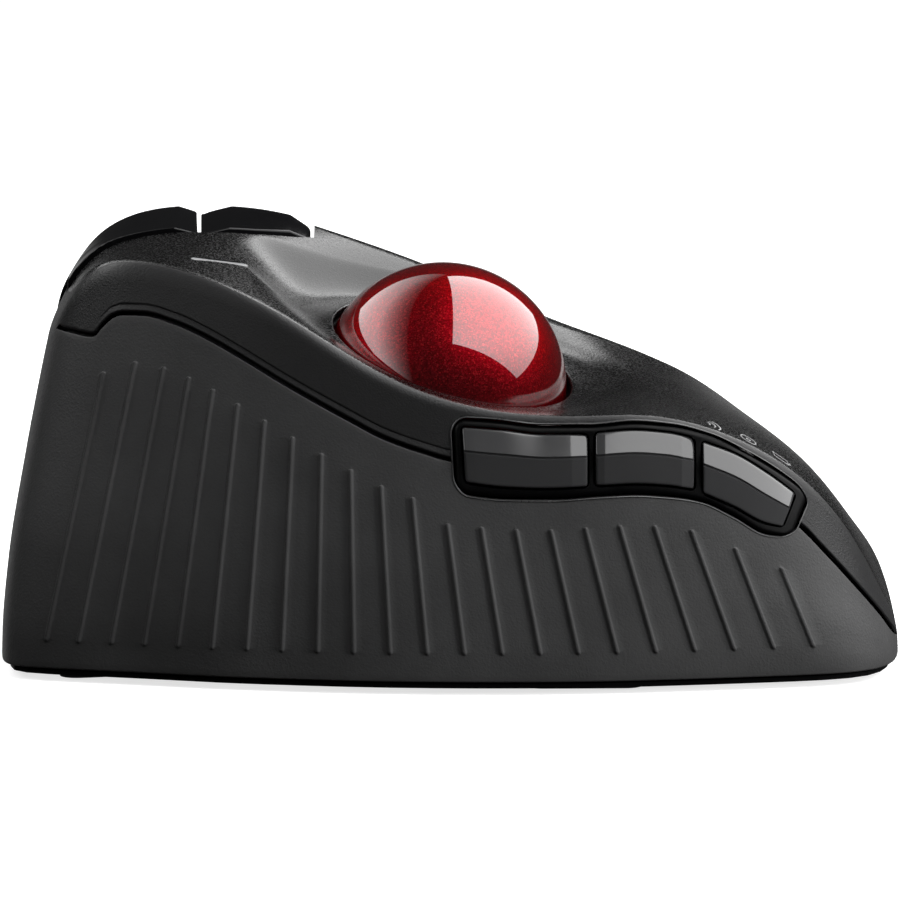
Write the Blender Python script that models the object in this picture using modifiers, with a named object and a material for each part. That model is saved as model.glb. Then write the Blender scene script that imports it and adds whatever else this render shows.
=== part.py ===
"""Thumb-operated ergonomic trackball mouse, modelled as its separate moulded, turned and bought-in pieces.

Frame: +Z up, the desk at z = 0. -X is the front (finger) end, +X the palm end, -Y the thumb side and +Y the
finger side. The origin lies under the middle of the footprint. The numbers below are millimetres; MM turns
them into metres.
"""

import math

import bmesh
import bpy
import numpy as np
from mathutils import Matrix, Vector

MM = 0.001

# ---------------------------------------------------------------- driving dimensions (mm)
BALL_R = 17.0                      # 34 mm thumb ball
BALL_C = np.array([-1.0, -11.0, 38.85])
CUP_R = 17.6                       # running clearance of 0.6 all round the ball
RING_H = 5.0                       # the opening lies this far above the ball's centre
RING_N = np.array([0.28, -0.25, 0.927])
RING_N = RING_N / np.linalg.norm(RING_N)

WALL = 2.0                         # moulded wall
SKIRT_Z = 1.6                      # lower edge of the skirt
PLATE_Z0, PLATE_Z1 = 0.65, 3.0     # base plate, bottom and top
RIM_Z = 5.4                        # height of the skirt on the finger side
GAP = 0.45                         # shut line between mouldings
CLICK_GAP = 0.6                    # shut line round a moving plate

# Stations round the body, counter-clockwise from the middle of the front:
# footprint x, y and shoulder x, y, z (the crease on the thumb side, the ridge on the finger side).
STATIONS = [
    (-62.2, -3.0, -54.9, -3.0, 48.7),
    (-61.6, -14.0, -54.3, -8.5, 48.6),
    (-60.0, -21.5, -52.2, -12.0, 51.6),
    (-55.0, -25.0, -49.0, -14.2, 54.8),
    (-48.0, -27.5, -45.0, -16.5, 56.3),
    (-40.0, -30.2, -38.5, -19.4, 55.7),
    (-31.0, -33.5, -31.0, -23.0, 53.4),
    (-22.0, -35.8, -22.0, -27.3, 49.3),
    (-12.0, -37.8, -12.0, -30.8, 43.6),
    (-2.0, -38.8, -2.0, -32.8, 39.3),
    (8.0, -39.0, 8.0, -33.5, 37.2),
    (18.0, -38.4, 18.0, -33.2, 36.8),
    (27.0, -37.0, 27.0, -32.0, 36.7),
    (36.0, -35.0, 36.0, -29.2, 34.3),
    (44.0, -33.0, 44.0, -25.7, 30.1),
    (51.0, -30.8, 51.0, -22.0, 24.1),
    (56.8, -27.0, 56.3, -18.7, 16.5),
    (60.2, -20.5, 59.7, -14.8, 9.7),
    (61.7, -12.0, 61.6, -9.0, 5.7),
    (62.2, -3.0, 62.1, -3.0, 5.2),
    (61.8, 5.0, 61.4, 2.5, 9.2),
    (60.5, 12.0, 59.0, 4.0, 14.9),
    (56.8, 18.8, 54.3, 4.8, 20.9),
    (51.0, 24.6, 48.0, 5.8, 27.3),
    (42.0, 29.6, 41.0, 6.9, 33.4),
    (32.0, 33.5, 31.5, 8.4, 40.2),
    (20.0, 36.3, 20.0, 10.2, 45.4),
    (8.0, 37.4, 8.0, 11.5, 50.4),
    (-4.0, 37.6, -4.0, 12.0, 55.5),
    (-16.0, 37.0, -15.5, 12.0, 59.3),
    (-27.0, 35.6, -26.0, 11.7, 61.8),
    (-37.0, 33.2, -36.0, 11.0, 62.1),
    (-46.0, 29.6, -43.5, 10.3, 61.1),
    (-53.5, 24.5, -49.0, 9.0, 58.2),
    (-59.0, 16.8, -52.4, 6.6, 54.0),
    (-61.6, 7.5, -54.4, 2.6, 50.0),
]
N_ST = len(STATIONS)
REAR = 19                          # the station at the middle of the rear

# Shut line between skirt and top cover, along x on the thumb side (x, z).
PARTING = [(-62, 47.1), (-54.3, 46.9), (-52.0, 46.6), (-48.7, 46.2), (-47.4, 47.5), (-46.0, 48.8), (-44.4, 49.3),
           (-41.8, 49.3), (-37.5, 48.3), (-33.3, 46.6), (-29.2, 44.5), (-21.7, 40.3), (-13.5, 36.0), (-9.1, 33.8),
           (-3.6, 31.9), (0.2, 30.9), (10.0, 30.2), (20.0, 29.9), (30.0, 28.9), (38.0, 26.4), (47.3, 21.1),
           (50.1, 18.2), (54.3, 13.6), (58.6, 8.5), (61.0, 5.1), (62.4, 3.5)]

# Outline of the thumb-button frame, seen from the thumb side (x, z), clockwise from its top left corner.
FRAME_TOP = [(0.4, 36.4), (5.6, 36.1), (12.4, 35.4), (18.8, 35.4), (24.4, 35.8), (29.6, 35.3), (34.8, 33.9),
             (40.0, 31.3), (45.4, 27.8), (48.6, 25.2)]
FRAME_BOTTOM = [(46.1, 20.0), (42.6, 20.7), (38.3, 23.2), (33.8, 25.4), (29.6, 26.2), (24.4, 26.6), (19.3, 26.4),
                (14.1, 26.1), (7.3, 26.2), (0.9, 26.9)]
# Thumb buttons: top edge and bottom edge (x, z).
BUTTON_A = ([(1.6, 35.4), (7.0, 35.0), (12.8, 34.4), (18.4, 34.4)], [(18.4, 27.6), (12.8, 27.4), (7.2, 27.6), (2.1, 28.2)])
BUTTON_B = ([(19.5, 34.6), (24.5, 34.9), (29.0, 34.5), (32.8, 33.6)], [(32.8, 26.9), (29.0, 27.6), (24.5, 27.9), (19.5, 27.7)])
BUTTON_C = ([(34.0, 33.1), (38.6, 31.2), (43.0, 28.4), (46.7, 25.6)], [(44.9, 21.4), (42.2, 22.2), (38.3, 24.4), (34.0, 26.4)])


# ---------------------------------------------------------------- curves
def closed_spline(rows):
    """A closed cubic spline through rows; returns f(s) for an array s counted in rows."""
    p = np.array(rows, float)
    n = len(p)
    a = np.zeros((n, n))
    for i in range(n):
        a[i, i] = 4
        a[i, (i - 1) % n] += 1
        a[i, (i + 1) % n] += 1
    m = np.linalg.solve(a, 6 * (np.roll(p, -1, 0) - 2 * p + np.roll(p, 1, 0)))

    def f(s):
        s = np.asarray(s, float) % n
        i = np.floor(s).astype(int) % n
        j = (i + 1) % n
        t = (s - np.floor(s))[..., None]
        return (m[i] * (1 - t) ** 3 + m[j] * t**3) / 6 + (p[i] - m[i] / 6) * (1 - t) + (p[j] - m[j] / 6) * t

    return f


def smooth(x, y, at):
    """A shape-preserving cubic through points with x increasing (monotone between points)."""
    x, y = np.asarray(x, float), np.asarray(y, float)
    h, d = np.diff(x), np.diff(y) / np.diff(x)
    m = np.zeros(len(x))
    for i in range(1, len(x) - 1):
        if d[i - 1] * d[i] > 0:
            w1, w2 = 2 * h[i] + h[i - 1], h[i] + 2 * h[i - 1]
            m[i] = (w1 + w2) / (w1 / d[i - 1] + w2 / d[i])
    m[0], m[-1] = d[0], d[-1]
    at = np.clip(np.asarray(at, float), x[0], x[-1])
    i = np.clip(np.searchsorted(x, at, side="right") - 1, 0, len(x) - 2)
    t = (at - x[i]) / h[i]
    return ((1 + 2 * t) * (1 - t) ** 2 * y[i] + t * (1 - t) ** 2 * h[i] * m[i]
            + t * t * (3 - 2 * t) * y[i + 1] + t * t * (t - 1) * h[i] * m[i + 1])


def step(a, b, x):
    t = np.clip((np.asarray(x, float) - a) / (b - a), 0, 1)
    return t * t * (3 - 2 * t)


# ---------------------------------------------------------------- the outer skin
loop = closed_spline(STATIONS)
_s = np.linspace(0, REAR, 400)
_l = loop(_s)
_o = np.argsort(_l[:, 2])
LEFT = _l[_o][:, 2:5]              # the crease as x, y, z with x increasing
_s = np.linspace(REAR, N_ST, 400)
_l = loop(_s)
_o = np.argsort(_l[:, 2])
RIGHT = _l[_o][:, 2:5]             # the ridge

_e1 = np.cross([0.0, 1.0, 0.0], RING_N)
_e1 /= np.linalg.norm(_e1)
_e2 = np.cross(RING_N, _e1)


def upper_face(x, y, d):
    """Height of the face between crease and ridge, d below the skin."""
    ramp = step(38, 56, x) - step(-38, -50, x)
    xe = np.clip(x + 0.8 * d * ramp, -54.6, 62.2)
    yc, zc = np.interp(xe, LEFT[:, 0], LEFT[:, 1]), np.interp(xe, LEFT[:, 0], LEFT[:, 2])
    yr, zr = np.interp(xe, RIGHT[:, 0], RIGHT[:, 1]), np.interp(xe, RIGHT[:, 0], RIGHT[:, 2])
    k = np.clip((y - yc) / np.maximum(yr - yc, 1e-3), 0, 1)
    hollow = smooth([-54, -46, -34, -20, -5, 12, 26, 36, 48, 62], [0, 0.3, -0.5, 0.3, 1.6, 1.8, 0.8, -0.8, -1.8, 0], xe)
    far = np.hypot((x - BALL_C[0]) * 0.96, y - BALL_C[1])
    dish = 2.2 * (1 - step(17.5, 27.0, far)) * step(0.0, 0.3, k) * step(0.0, 0.35, 1 - k)
    return zc + (zr - zc) * k - hollow * 4 * k * (1 - k) - dish - d


def ring_point(angle, d):
    h = RING_H - d
    r = math.sqrt(CUP_R**2 - h**2)
    c = BALL_C + RING_N * h
    return c + r * (np.cos(angle)[..., None] * _e1 + np.sin(angle)[..., None] * _e2)


def side_weight(s):
    """0 on the thumb side, 1 on the finger side."""
    s = np.asarray(s, float) % N_ST
    return step(18.8, 23.0, s) * (1 - step(33.0, 35.8, s))


def skin(s, lam, d=0.0):
    """Point of the skin, d inside it. s counts stations; lam is 0..1 up the wall, 1..2 over the shoulder, 2..3 to the ball opening."""
    s, lam = np.broadcast_arrays(np.asarray(s, float), np.asarray(lam, float))
    eps = 1e-3
    row, ahead = loop(s), loop(s + eps)
    b, sh = row[..., :2], row[..., 2:4]
    tb, ts = ahead[..., :2] - b, ahead[..., 2:4] - sh
    tb /= np.linalg.norm(tb, axis=-1, keepdims=True)
    ts /= np.linalg.norm(ts, axis=-1, keepdims=True)
    b = b + d * np.stack([-tb[..., 1], tb[..., 0]], -1)
    sh = sh + d * np.stack([-ts[..., 1], ts[..., 0]], -1)
    top_z = upper_face(sh[..., 0], sh[..., 1], d) if d else row[..., 4]
    w = side_weight(s)
    z0 = SKIRT_Z

    def wall(u):
        left = smooth([0, 0.17, 0.43, 0.72, 0.93, 1.0], [0, 0.235, 0.56, 0.87, 0.99, 1.0], u)
        right = smooth([0, 0.09, 0.30, 0.55, 0.76, 0.9, 1.0], [0, 0.2, 0.47, 0.655, 0.79, 0.965, 1.0], u)
        h = left * (1 - w) + right * w
        xy = sh + (b - sh) * h[..., None]
        return np.concatenate([xy, (top_z + (z0 - top_z) * u)[..., None]], -1)

    c = BALL_C + RING_N * RING_H
    angle = np.unwrap(np.arctan2(row[..., 3] - c[1], row[..., 2] - c[0]), axis=0) if s.ndim else math.atan2(
        float(row[..., 3]) - c[1], float(row[..., 2]) - c[0])
    ring = ring_point(np.asarray(angle), d)

    def top(v):
        xy = sh + (ring[..., :2] - sh) * v[..., None]
        z = upper_face(xy[..., 0], xy[..., 1], d)
        z = z + (top_z - upper_face(sh[..., 0], sh[..., 1], d)) * (1 - step(0, 0.2, v))
        near = step(0.62, 1.0, v)
        return np.concatenate([xy, (z * (1 - near) + ring[..., 2] * near)[..., None]], -1)

    base3 = np.concatenate([b, np.full_like(top_z, z0)[..., None]], -1)
    sh3 = np.concatenate([sh, top_z[..., None]], -1)
    long_wall = np.linalg.norm(base3 - sh3, axis=-1)
    long_top = np.linalg.norm(ring - sh3, axis=-1)
    rho = shoulder_radius(s)
    ur, vr = np.minimum(rho / long_wall, 0.45), np.minimum(rho / long_top, 0.6)
    t = np.clip(lam - 1, 0, 1)[..., None]
    arc = wall(ur) * (1 - t) ** 2 + sh3 * 2 * t * (1 - t) + top(vr) * t**2
    on_wall = wall(1 - np.clip(lam, 0, 1) * (1 - ur))
    on_top = top(vr + np.clip(lam - 2, 0, 1) * (1 - vr))
    return np.where((lam <= 1)[..., None], on_wall, np.where((lam >= 2)[..., None], on_top, arc))


def shoulder_radius(s):
    s = np.asarray(s, float) % N_ST
    return smooth([0, 2, 5, 8, 10, 14, 16, 18.5, 20, 22, 25, 31, 33, 35, 36],
                  [3.5, 3.2, 2.4, 1.5, 1.1, 1.1, 1.5, 1.2, 1.6, 4.0, 5.0, 5.0, 4.0, 3.6, 3.5], s)


def wall_lam(s, z, d=0.0):
    """lam on the wall at height z."""
    s = np.asarray(s, float)
    low, high = np.zeros_like(s), np.full_like(s, 1.0)
    for _ in range(26):
        mid = (low + high) / 2
        above = skin(s, mid, d)[..., 2] > z
        high, low = np.where(above, mid, high), np.where(above, low, mid)
    return (low + high) / 2


def s_at_x(x, z, d=0.0, side="left"):
    """Station number whose wall point at height z has this x, on the thumb or the finger side."""
    a, b = (0.3, REAR - 0.3) if side == "left" else (N_ST - 0.5, REAR + 0.4)
    for _ in range(30):
        m = (a + b) / 2
        xm = float(skin(np.array([m]), wall_lam(np.array([m]), z, d), d)[0, 0])
        a, b = (m, b) if xm < x else (a, m)
    return (a + b) / 2


def parting_z(s):
    """Height of the shut line at station s, thumb side from the front to the rear."""
    s = np.asarray(s, float)
    x = loop(s)[..., 0] * 0.5 + loop(s)[..., 2] * 0.5
    xs, zs = [p[0] for p in PARTING], [p[1] for p in PARTING]
    z = np.interp(x, xs, zs)
    for _ in range(12):
        z = np.interp(skin(s, wall_lam(s, z))[..., 0], xs, zs)
    return z


# ---------------------------------------------------------------- mesh helpers
for old in list(bpy.data.objects):
    bpy.data.objects.remove(old, do_unlink=True)
for old in list(bpy.data.collections):
    bpy.data.collections.remove(old)
model = bpy.data.collections.new("trackball_mouse")
cutters = bpy.data.collections.new("cutters")
bpy.context.scene.collection.children.link(model)
bpy.context.scene.collection.children.link(cutters)
cutters.hide_render = True


def material(name, colour, roughness, metallic=0.0):
    m = bpy.data.materials.get(name)
    if m:
        return m
    m = bpy.data.materials.new(name)
    m.use_nodes = True
    m.diffuse_color = (*colour, 1)
    node = m.node_tree.nodes["Principled BSDF"]
    node.inputs["Base Color"].default_value = (*colour, 1)
    node.inputs["Roughness"].default_value = roughness
    node.inputs["Metallic"].default_value = metallic
    return m


SATIN = ("satin_black_plastic", (0.035, 0.035, 0.037), 0.5)
SPARKLE = ("textured_black_plastic", (0.028, 0.028, 0.03), 0.42)
GLOSS = ("gloss_black_plastic", (0.012, 0.012, 0.013), 0.08)
RED = ("red_resin", (0.42, 0.012, 0.02), 0.06)
RUBBER = ("black_rubber", (0.02, 0.02, 0.02), 0.85)
NATURAL = ("black_inner_plastic", (0.05, 0.05, 0.055), 0.6)
GREEN = ("circuit_board", (0.02, 0.12, 0.06), 0.5)
STEEL = ("steel", (0.6, 0.6, 0.62), 0.3, 1.0)
CLEAR = ("clear_plastic", (0.75, 0.78, 0.8), 0.1)
WHITE = ("ceramic", (0.85, 0.85, 0.82), 0.2)
CELL = ("battery_jacket", (0.12, 0.13, 0.14), 0.35)


def add(name, bm_or_mesh, look, cutter=False, flat=False, origin=None):
    if isinstance(bm_or_mesh, bmesh.types.BMesh):
        mesh = bpy.data.meshes.new(name)
        bm_or_mesh.to_mesh(mesh)
        bm_or_mesh.free()
    else:
        mesh = bm_or_mesh
    obj = bpy.data.objects.new(name, mesh)
    if cutter:
        cutters.objects.link(obj)
        obj.hide_render = True
        obj.display_type = "WIRE"
    else:
        model.objects.link(obj)
        mesh.materials.clear()
        mesh.materials.append(material(*look))
    if not flat:
        mesh.shade_smooth()
        mesh.set_sharp_from_angle(angle=math.radians(35))
    if origin is not None:
        o = Vector(origin) * MM
        mesh.transform(Matrix.Translation(-o))
        obj.location = o
    return obj


def cut(target, tool, operation="DIFFERENCE"):
    mod = target.modifiers.new("cut_" + tool.name, "BOOLEAN")
    mod.operation = operation
    mod.object = tool
    mod.solver = "EXACT"
    return mod


def lofted(name, outer, inner, look, ring=False, **kw):
    """A closed shell lofted between an outer and an inner grid of points (columns x rows), joined round its edges. ring closes the columns on themselves."""
    n, m, mi = outer.shape[0], outer.shape[1], inner.shape[1]
    bm = bmesh.new()
    vo = [[bm.verts.new(Vector(outer[i, j]) * MM) for j in range(m)] for i in range(n)]
    vi = [[bm.verts.new(Vector(inner[i, j]) * MM) for j in range(mi)] for i in range(n)]
    cols = n if ring else n - 1
    for i in range(cols):
        k = (i + 1) % n
        for j in range(m - 1):
            bm.faces.new((vo[i][j], vo[k][j], vo[k][j + 1], vo[i][j + 1]))
        for j in range(mi - 1):
            bm.faces.new((vi[i][j], vi[i][j + 1], vi[k][j + 1], vi[k][j]))
        bm.faces.new((vo[i][0], vi[i][0], vi[k][0], vo[k][0]))
        bm.faces.new((vo[i][m - 1], vo[k][m - 1], vi[k][mi - 1], vi[i][mi - 1]))
    if not ring:
        for i in (0, n - 1):
            for j in range(m - 1):
                bm.faces.new((vo[i][j], vo[i][j + 1], vi[i][j + 1], vi[i][j]))
    bmesh.ops.recalc_face_normals(bm, faces=bm.faces)
    if bm.calc_volume(signed=True) < 0:
        bmesh.ops.reverse_faces(bm, faces=bm.faces)
    return add(name, bm, look, **kw)


def grid(stations, low, high, rows, d):
    """Skin points: one column a station, rows from lam low to high."""
    s = np.asarray(stations, float)[:, None]
    f = np.asarray(rows, float)[None, :]
    lam = np.asarray(low, float)[:, None] * (1 - f) + np.asarray(high, float)[:, None] * f
    return skin(np.repeat(s, f.shape[1], 1), lam, d)


def grid_lams(stations, lams, d):
    s = np.asarray(stations, float)[:, None]
    return skin(np.repeat(s, lams.shape[1], 1), lams, d)


def prism(name, outline, y0, y1, look, **kw):
    """An (x, z) outline pushed from y0 to y1."""
    bm = bmesh.new()
    lo = [bm.verts.new((x * MM, y0 * MM, z * MM)) for x, z in outline]
    hi = [bm.verts.new((x * MM, y1 * MM, z * MM)) for x, z in outline]
    n = len(lo)
    bm.faces.new(lo)
    bm.faces.new(hi[::-1])
    for i in range(n):
        bm.faces.new((lo[i], hi[i], hi[(i + 1) % n], lo[(i + 1) % n]))
    bmesh.ops.recalc_face_normals(bm, faces=bm.faces)
    return add(name, bm, look, **kw)


def plate(name, outline, z0, z1, look, **kw):
    """An (x, y) outline pushed from z0 to z1."""
    bm = bmesh.new()
    lo = [bm.verts.new((x * MM, y * MM, z0 * MM)) for x, y in outline]
    hi = [bm.verts.new((x * MM, y * MM, z1 * MM)) for x, y in outline]
    n = len(lo)
    bm.faces.new(lo)
    bm.faces.new(hi[::-1])
    for i in range(n):
        bm.faces.new((lo[i], hi[i], hi[(i + 1) % n], lo[(i + 1) % n]))
    bmesh.ops.recalc_face_normals(bm, faces=bm.faces)
    return add(name, bm, look, **kw)


def box(name, centre, size, look, turn=None, **kw):
    bm = bmesh.new()
    bmesh.ops.create_cube(bm, size=1.0)
    bmesh.ops.scale(bm, vec=Vector(size) * MM, verts=bm.verts)
    m = (turn or Matrix.Identity(3)).to_4x4()
    m.translation = Vector(centre) * MM
    bmesh.ops.transform(bm, matrix=m, verts=bm.verts)
    return add(name, bm, look, **kw)


def cylinder(name, centre, direction, radius, length, look, sides=24, radius2=None, **kw):
    bm = bmesh.new()
    bmesh.ops.create_cone(bm, cap_ends=True, segments=sides, radius1=radius * MM,
                          radius2=(radius if radius2 is None else radius2) * MM, depth=length * MM)
    m = Vector(direction).to_track_quat("Z", "Y").to_matrix().to_4x4()
    m.translation = Vector(centre) * MM
    bmesh.ops.transform(bm, matrix=m, verts=bm.verts)
    return add(name, bm, look, **kw)


def ball(name, centre, radius, look, u=24, v=12, **kw):
    bm = bmesh.new()
    bmesh.ops.create_uvsphere(bm, u_segments=u, v_segments=v, radius=radius * MM)
    bmesh.ops.translate(bm, vec=Vector(centre) * MM, verts=bm.verts)
    return add(name, bm, look, **kw)


def turned(name, profile, centre, direction, look, steps=32, flip=False, **kw):
    """A closed (radius, height) profile spun about an axis, by the Screw tool."""
    mesh = bpy.data.meshes.new(name)
    pts = [(r * MM, 0, z * MM) for r, z in profile]
    n = len(pts) - (profile[0][0] == 0 and profile[-1][0] == 0)
    mesh.from_pydata(pts, [(i, (i + 1) % len(pts)) for i in range(n)], [])
    obj = bpy.data.objects.new(name, mesh)
    (cutters if kw.get("cutter") else model).objects.link(obj)
    if kw.get("cutter"):
        obj.hide_render = True
        obj.display_type = "WIRE"
    mod = obj.modifiers.new("turn", "SCREW")
    mod.steps = mod.render_steps = steps
    mod.use_merge_vertices = True
    mod.merge_threshold = 0.00001
    mod.use_smooth_shade = True
    mod.use_normal_calculate = True
    mod.use_normal_flip = flip
    mesh.materials.append(material(*look))
    q = Vector(direction).to_track_quat("Z", "Y")
    obj.rotation_mode = "QUATERNION"
    obj.rotation_quaternion = q
    obj.location = Vector(centre) * MM
    return obj


def inset(points, d):
    """A closed counter-clockwise (x, y) outline moved inwards by d."""
    p = np.array(points, float)
    t = np.roll(p, -1, 0) - np.roll(p, 1, 0)
    t /= np.linalg.norm(t, axis=1, keepdims=True)
    return p + d * np.stack([-t[:, 1], t[:, 0]], 1)


# ---------------------------------------------------------------- the outer mouldings
SEAM = 0.985                       # lam of the shut line under the ridge
TAIL = 20.3                        # station where the finger-side cover begins
PLATES = 28.55                     # station where the lower click plate begins
CREST = 29.25                      # station where the crest buttons and the upper click plate begin
NOSE = 34.62                       # station where the finger side ends at the front
TONGUE = (0.395, 0.545)            # lam of the strip between the click plates
CREST_LOW = 0.875                  # lam of the lower edge of the crest buttons


def skirt_top(s, extra=0.0):
    """Upper edge of the skirt at each station."""
    s = np.asarray(s, float) % N_ST
    z = np.where(s <= REAR, parting_z(np.minimum(s, REAR)), 3.5 + (RIM_Z - 3.5) * step(19.4, 22.5, s))
    xs, zs = [p[0] for p in PARTING], [p[1] for p in PARTING]
    x = skin(s, wall_lam(s, z))[..., 0]
    slope = (np.interp(x + 0.6, xs, zs) - np.interp(x - 0.6, xs, zs)) / 1.2
    stretch = np.where(s <= REAR, np.sqrt(1 + np.minimum(slope**2, 9.0)), 1.0)
    return np.where(s > NOSE + 0.12, 46.9, z) + extra * stretch


thumb_s = np.array([0, 0.6, 1.2, 1.8, 2.4, 2.8, 3.05, 3.3, 3.6, 3.9, 4.2, 4.6, 5.2, 5.8, 6.5, 7.2, 7.9, 8.6, 9.3, 10.1, 11.0,
                    12.0, 13.0, 13.8, 14.5, 15.1, 15.7, 16.2, 16.7, 17.2, 17.7, 18.3, 19.0, 19.6])
ring_s = np.concatenate([thumb_s, np.arange(20.3, 34.4, 0.8), [NOSE + 0.09, NOSE + 0.15, 35.2, 35.6]])

fr = [0, 0.2, 0.42, 0.64, 0.84, 1.0]
roof = skin(ring_s, 1.0, WALL)[..., 2]                 # where the inside of the wall meets the inside of the top
hi_out, hi_in = wall_lam(ring_s, skirt_top(ring_s)), wall_lam(ring_s, np.minimum(skirt_top(ring_s), roof - 2.0), WALL)
lower_shell = lofted("lower_shell", grid(ring_s, 0 * ring_s, hi_out, fr, 0.0), grid(ring_s, 0 * ring_s, hi_in, fr, WALL),
                     SATIN, ring=True)

side_s = np.array([TAIL, 20.9, 21.6, 22.4, 23.3, 24.2, 25.1, 26.0, 26.9, 27.8, 28.7, 29.5, 30.3, 31.1, 31.9, 32.7, 33.4,
                   34.0, NOSE - 0.02])
cover_s = np.concatenate([thumb_s, [TAIL - 0.12, TAIL - 0.04], side_s[1:-1], [NOSE + 0.16, 35.2, 35.6]])


def cover_low(d):
    top = skirt_top(cover_s, GAP)
    if d:
        top = np.minimum(top, skin(cover_s, 1.0, d)[..., 2] - 0.05)
    edge = wall_lam(cover_s, top, d)
    if d:                                       # at the front the inner edge sits under the roof, behind the sloping wall
        front = np.where(cover_s > NOSE, 1.0, 1 - step(2.0, 3.2, cover_s))
        edge = edge + (1.8 - edge) * front
    return np.where((cover_s < TAIL - 0.08) | (cover_s > NOSE + 0.12), edge, SEAM)


def lam_rows(low, above):
    """Rows from the lower edge to lam 1, then the given ones."""
    first = low[:, None] + (1.0 - low)[:, None] * np.array([0.0, 0.5])[None, :]
    first = np.where(low[:, None] > 0.999, low[:, None] + np.array([0.0, 0.02])[None, :], first)
    rest = np.repeat(np.array(above)[None, :], len(low), 0)
    rest = np.maximum(rest, first[:, 1:2] + 0.02 * (1 + np.arange(len(above)))[None, :])
    return np.concatenate([first, rest], 1)


outer = grid_lams(cover_s, lam_rows(cover_low(0.0), [1.0, 1.4, 1.75, 2.0, 2.2, 2.45, 2.7, 2.87, 3.0]), 0.0)
inner = grid_lams(cover_s, lam_rows(cover_low(WALL), [1.0, 1.5, 2.0, 2.4, 2.75, 3.0]), WALL)
top_cover = lofted("top_cover", outer, inner, SPARKLE, ring=True)

side_low, side_low_in = (wall_lam(side_s, skirt_top(side_s, GAP), d) for d in (0.0, WALL))
side_rows = [0, 0.14, 0.28, 0.42, 0.56, 0.7, 0.85, 1.0]
side_high = SEAM - (GAP + 0.1) / np.linalg.norm(skin(side_s, 0.0) - skin(side_s, 1.0), axis=-1)
right_cover = lofted("right_cover", grid(side_s, side_low, side_high, side_rows, 0.0),
                     grid(side_s, side_low_in, side_high, side_rows, WALL), SPARKLE)
for name, s0, lams in (("upper_plate_bay", CREST, [TONGUE[1], 0.66, 0.78, 0.9, 1.0]),
                       ("lower_plate_bay", PLATES, [-0.12, 0.02, 0.14, 0.27, TONGUE[0]])):
    bay_s = np.array([s0, 29.9, 30.6, 31.3, 32.0, 32.7, 33.4, 34.1, 34.9])
    lams = np.repeat(np.array([lams]), len(bay_s), 0)
    cut(right_cover, lofted(name, grid_lams(bay_s, lams, -2.0), grid_lams(bay_s, lams, 3.5), SATIN, cutter=True))

plate_s = np.array([CREST + 0.1, 29.9, 30.6, 31.3, 32.0, 32.7, 33.4, 34.0, NOSE - 0.02])
left_click = lofted("left_click_button", grid(plate_s, 0 * plate_s + TONGUE[1] + 0.0125, 0 * plate_s + CREST_LOW - 0.012,
                                              [0, 0.25, 0.5, 0.75, 1], 0.0),
                    grid(plate_s, 0 * plate_s + TONGUE[1] + 0.0125, 0 * plate_s + CREST_LOW - 0.012, [0, 0.25, 0.5, 0.75, 1], 2.2), SATIN)
plate_s = np.array([PLATES + 0.1, 29.4, 30.1, 30.8, 31.5, 32.2, 32.9, 33.5, 34.1, NOSE - 0.02])
low, low_in = (wall_lam(plate_s, skirt_top(plate_s, CLICK_GAP), d) for d in (0.0, 2.2))
right_click = lofted("right_click_button", grid(plate_s, low, 0 * plate_s + TONGUE[0] - 0.0125, [0, 0.2, 0.45, 0.7, 1], 0.0),
                     grid(plate_s, low_in, 0 * plate_s + TONGUE[0] - 0.0125, [0, 0.2, 0.45, 0.7, 1], 2.2), SATIN)

# crest buttons: a thick slice of skin kept inside an upright outline, its ends bevelled down
CREST_EDGE = [(-53.0, -3.2), (-44.0, -3.2), (-36.0, -3.0), (-28.4, -0.6), (-22.3, 3.4), (-19.0, 6.0)]
crest_s = np.array([26.6, 27.4, 28.2, 28.9, 29.2, 29.45, 29.8, 30.2, 30.5, 30.8, 31.1, 31.35, 31.8, 32.4, 33.0, 33.5, 34.0, 34.5,
                    35.0, 35.5, 36.2, 37.2])
crest_lams = np.array([CREST_LOW + 0.003, 0.94, 1.0, 1.35, 1.7, 2.0, 2.25, 2.5, 2.8])


def crest_slice(stations, lams, lift_x, lift):
    """Skin points raised by a lift that varies along x."""
    g0, g1 = grid_lams(stations, lams, 0.0), grid_lams(stations, lams, -1.0)
    return g0 + (g1 - g0) * np.interp(g0[..., 0], lift_x, lift)[..., None]


for name, x0, x1, lift_x, lift in (
        ("forward_button", -52.4, -35.95, [-54, -38.4, -36.0], [0.55, 0.55, -0.5]),
        ("back_button", -35.4, -19.35, [-35.4, -34.6, -31.0, -22.4, -19.3], [-1.6, -0.8, 0.5, 0.5, -1.3])):
    lams = np.repeat(crest_lams[None, :], len(crest_s), 0)
    under = np.maximum(lams, CREST_LOW + 0.025)            # the lower edge is undercut, clear of the click plate when both are pressed
    under[:, 0] -= 0.003
    piece = lofted(name, crest_slice(crest_s, lams, lift_x, lift), grid_lams(crest_s, under, 3.2), GLOSS)
    near = [(x, y + 0.4) for x, y in CREST_EDGE if x0 + 1 < x < x1 - 1]
    ys = np.interp([x0, x1], [p[0] for p in CREST_EDGE], [p[1] + 0.4 for p in CREST_EDGE])
    front = [(x0, 3.6), (-62.4, 16.6), (-62.4, 34.0)] if x0 < -50 else [(x0 - 1.4, 34.0)]
    keep = plate("keep_" + name, [(x0, ys[0]), *front, (x1 - 0.04 * (34 - ys[1]), 34.0), (x1, ys[1]), *near[::-1]], 20, 75, GLOSS,
                 cutter=True, flat=True)
    cut(piece, keep, "INTERSECT")
opening = plate("crest_opening", [(-53.2, -3.3), (-53.3, 3.1), (-70.0, 23.0), (-70.0, 45.0), (-20.1, 45.0), (-18.8, 6.0),
                                  *CREST_EDGE[-2:0:-1]], 20, 75, SATIN, cutter=True, flat=True)
cut(top_cover, opening)


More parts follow.
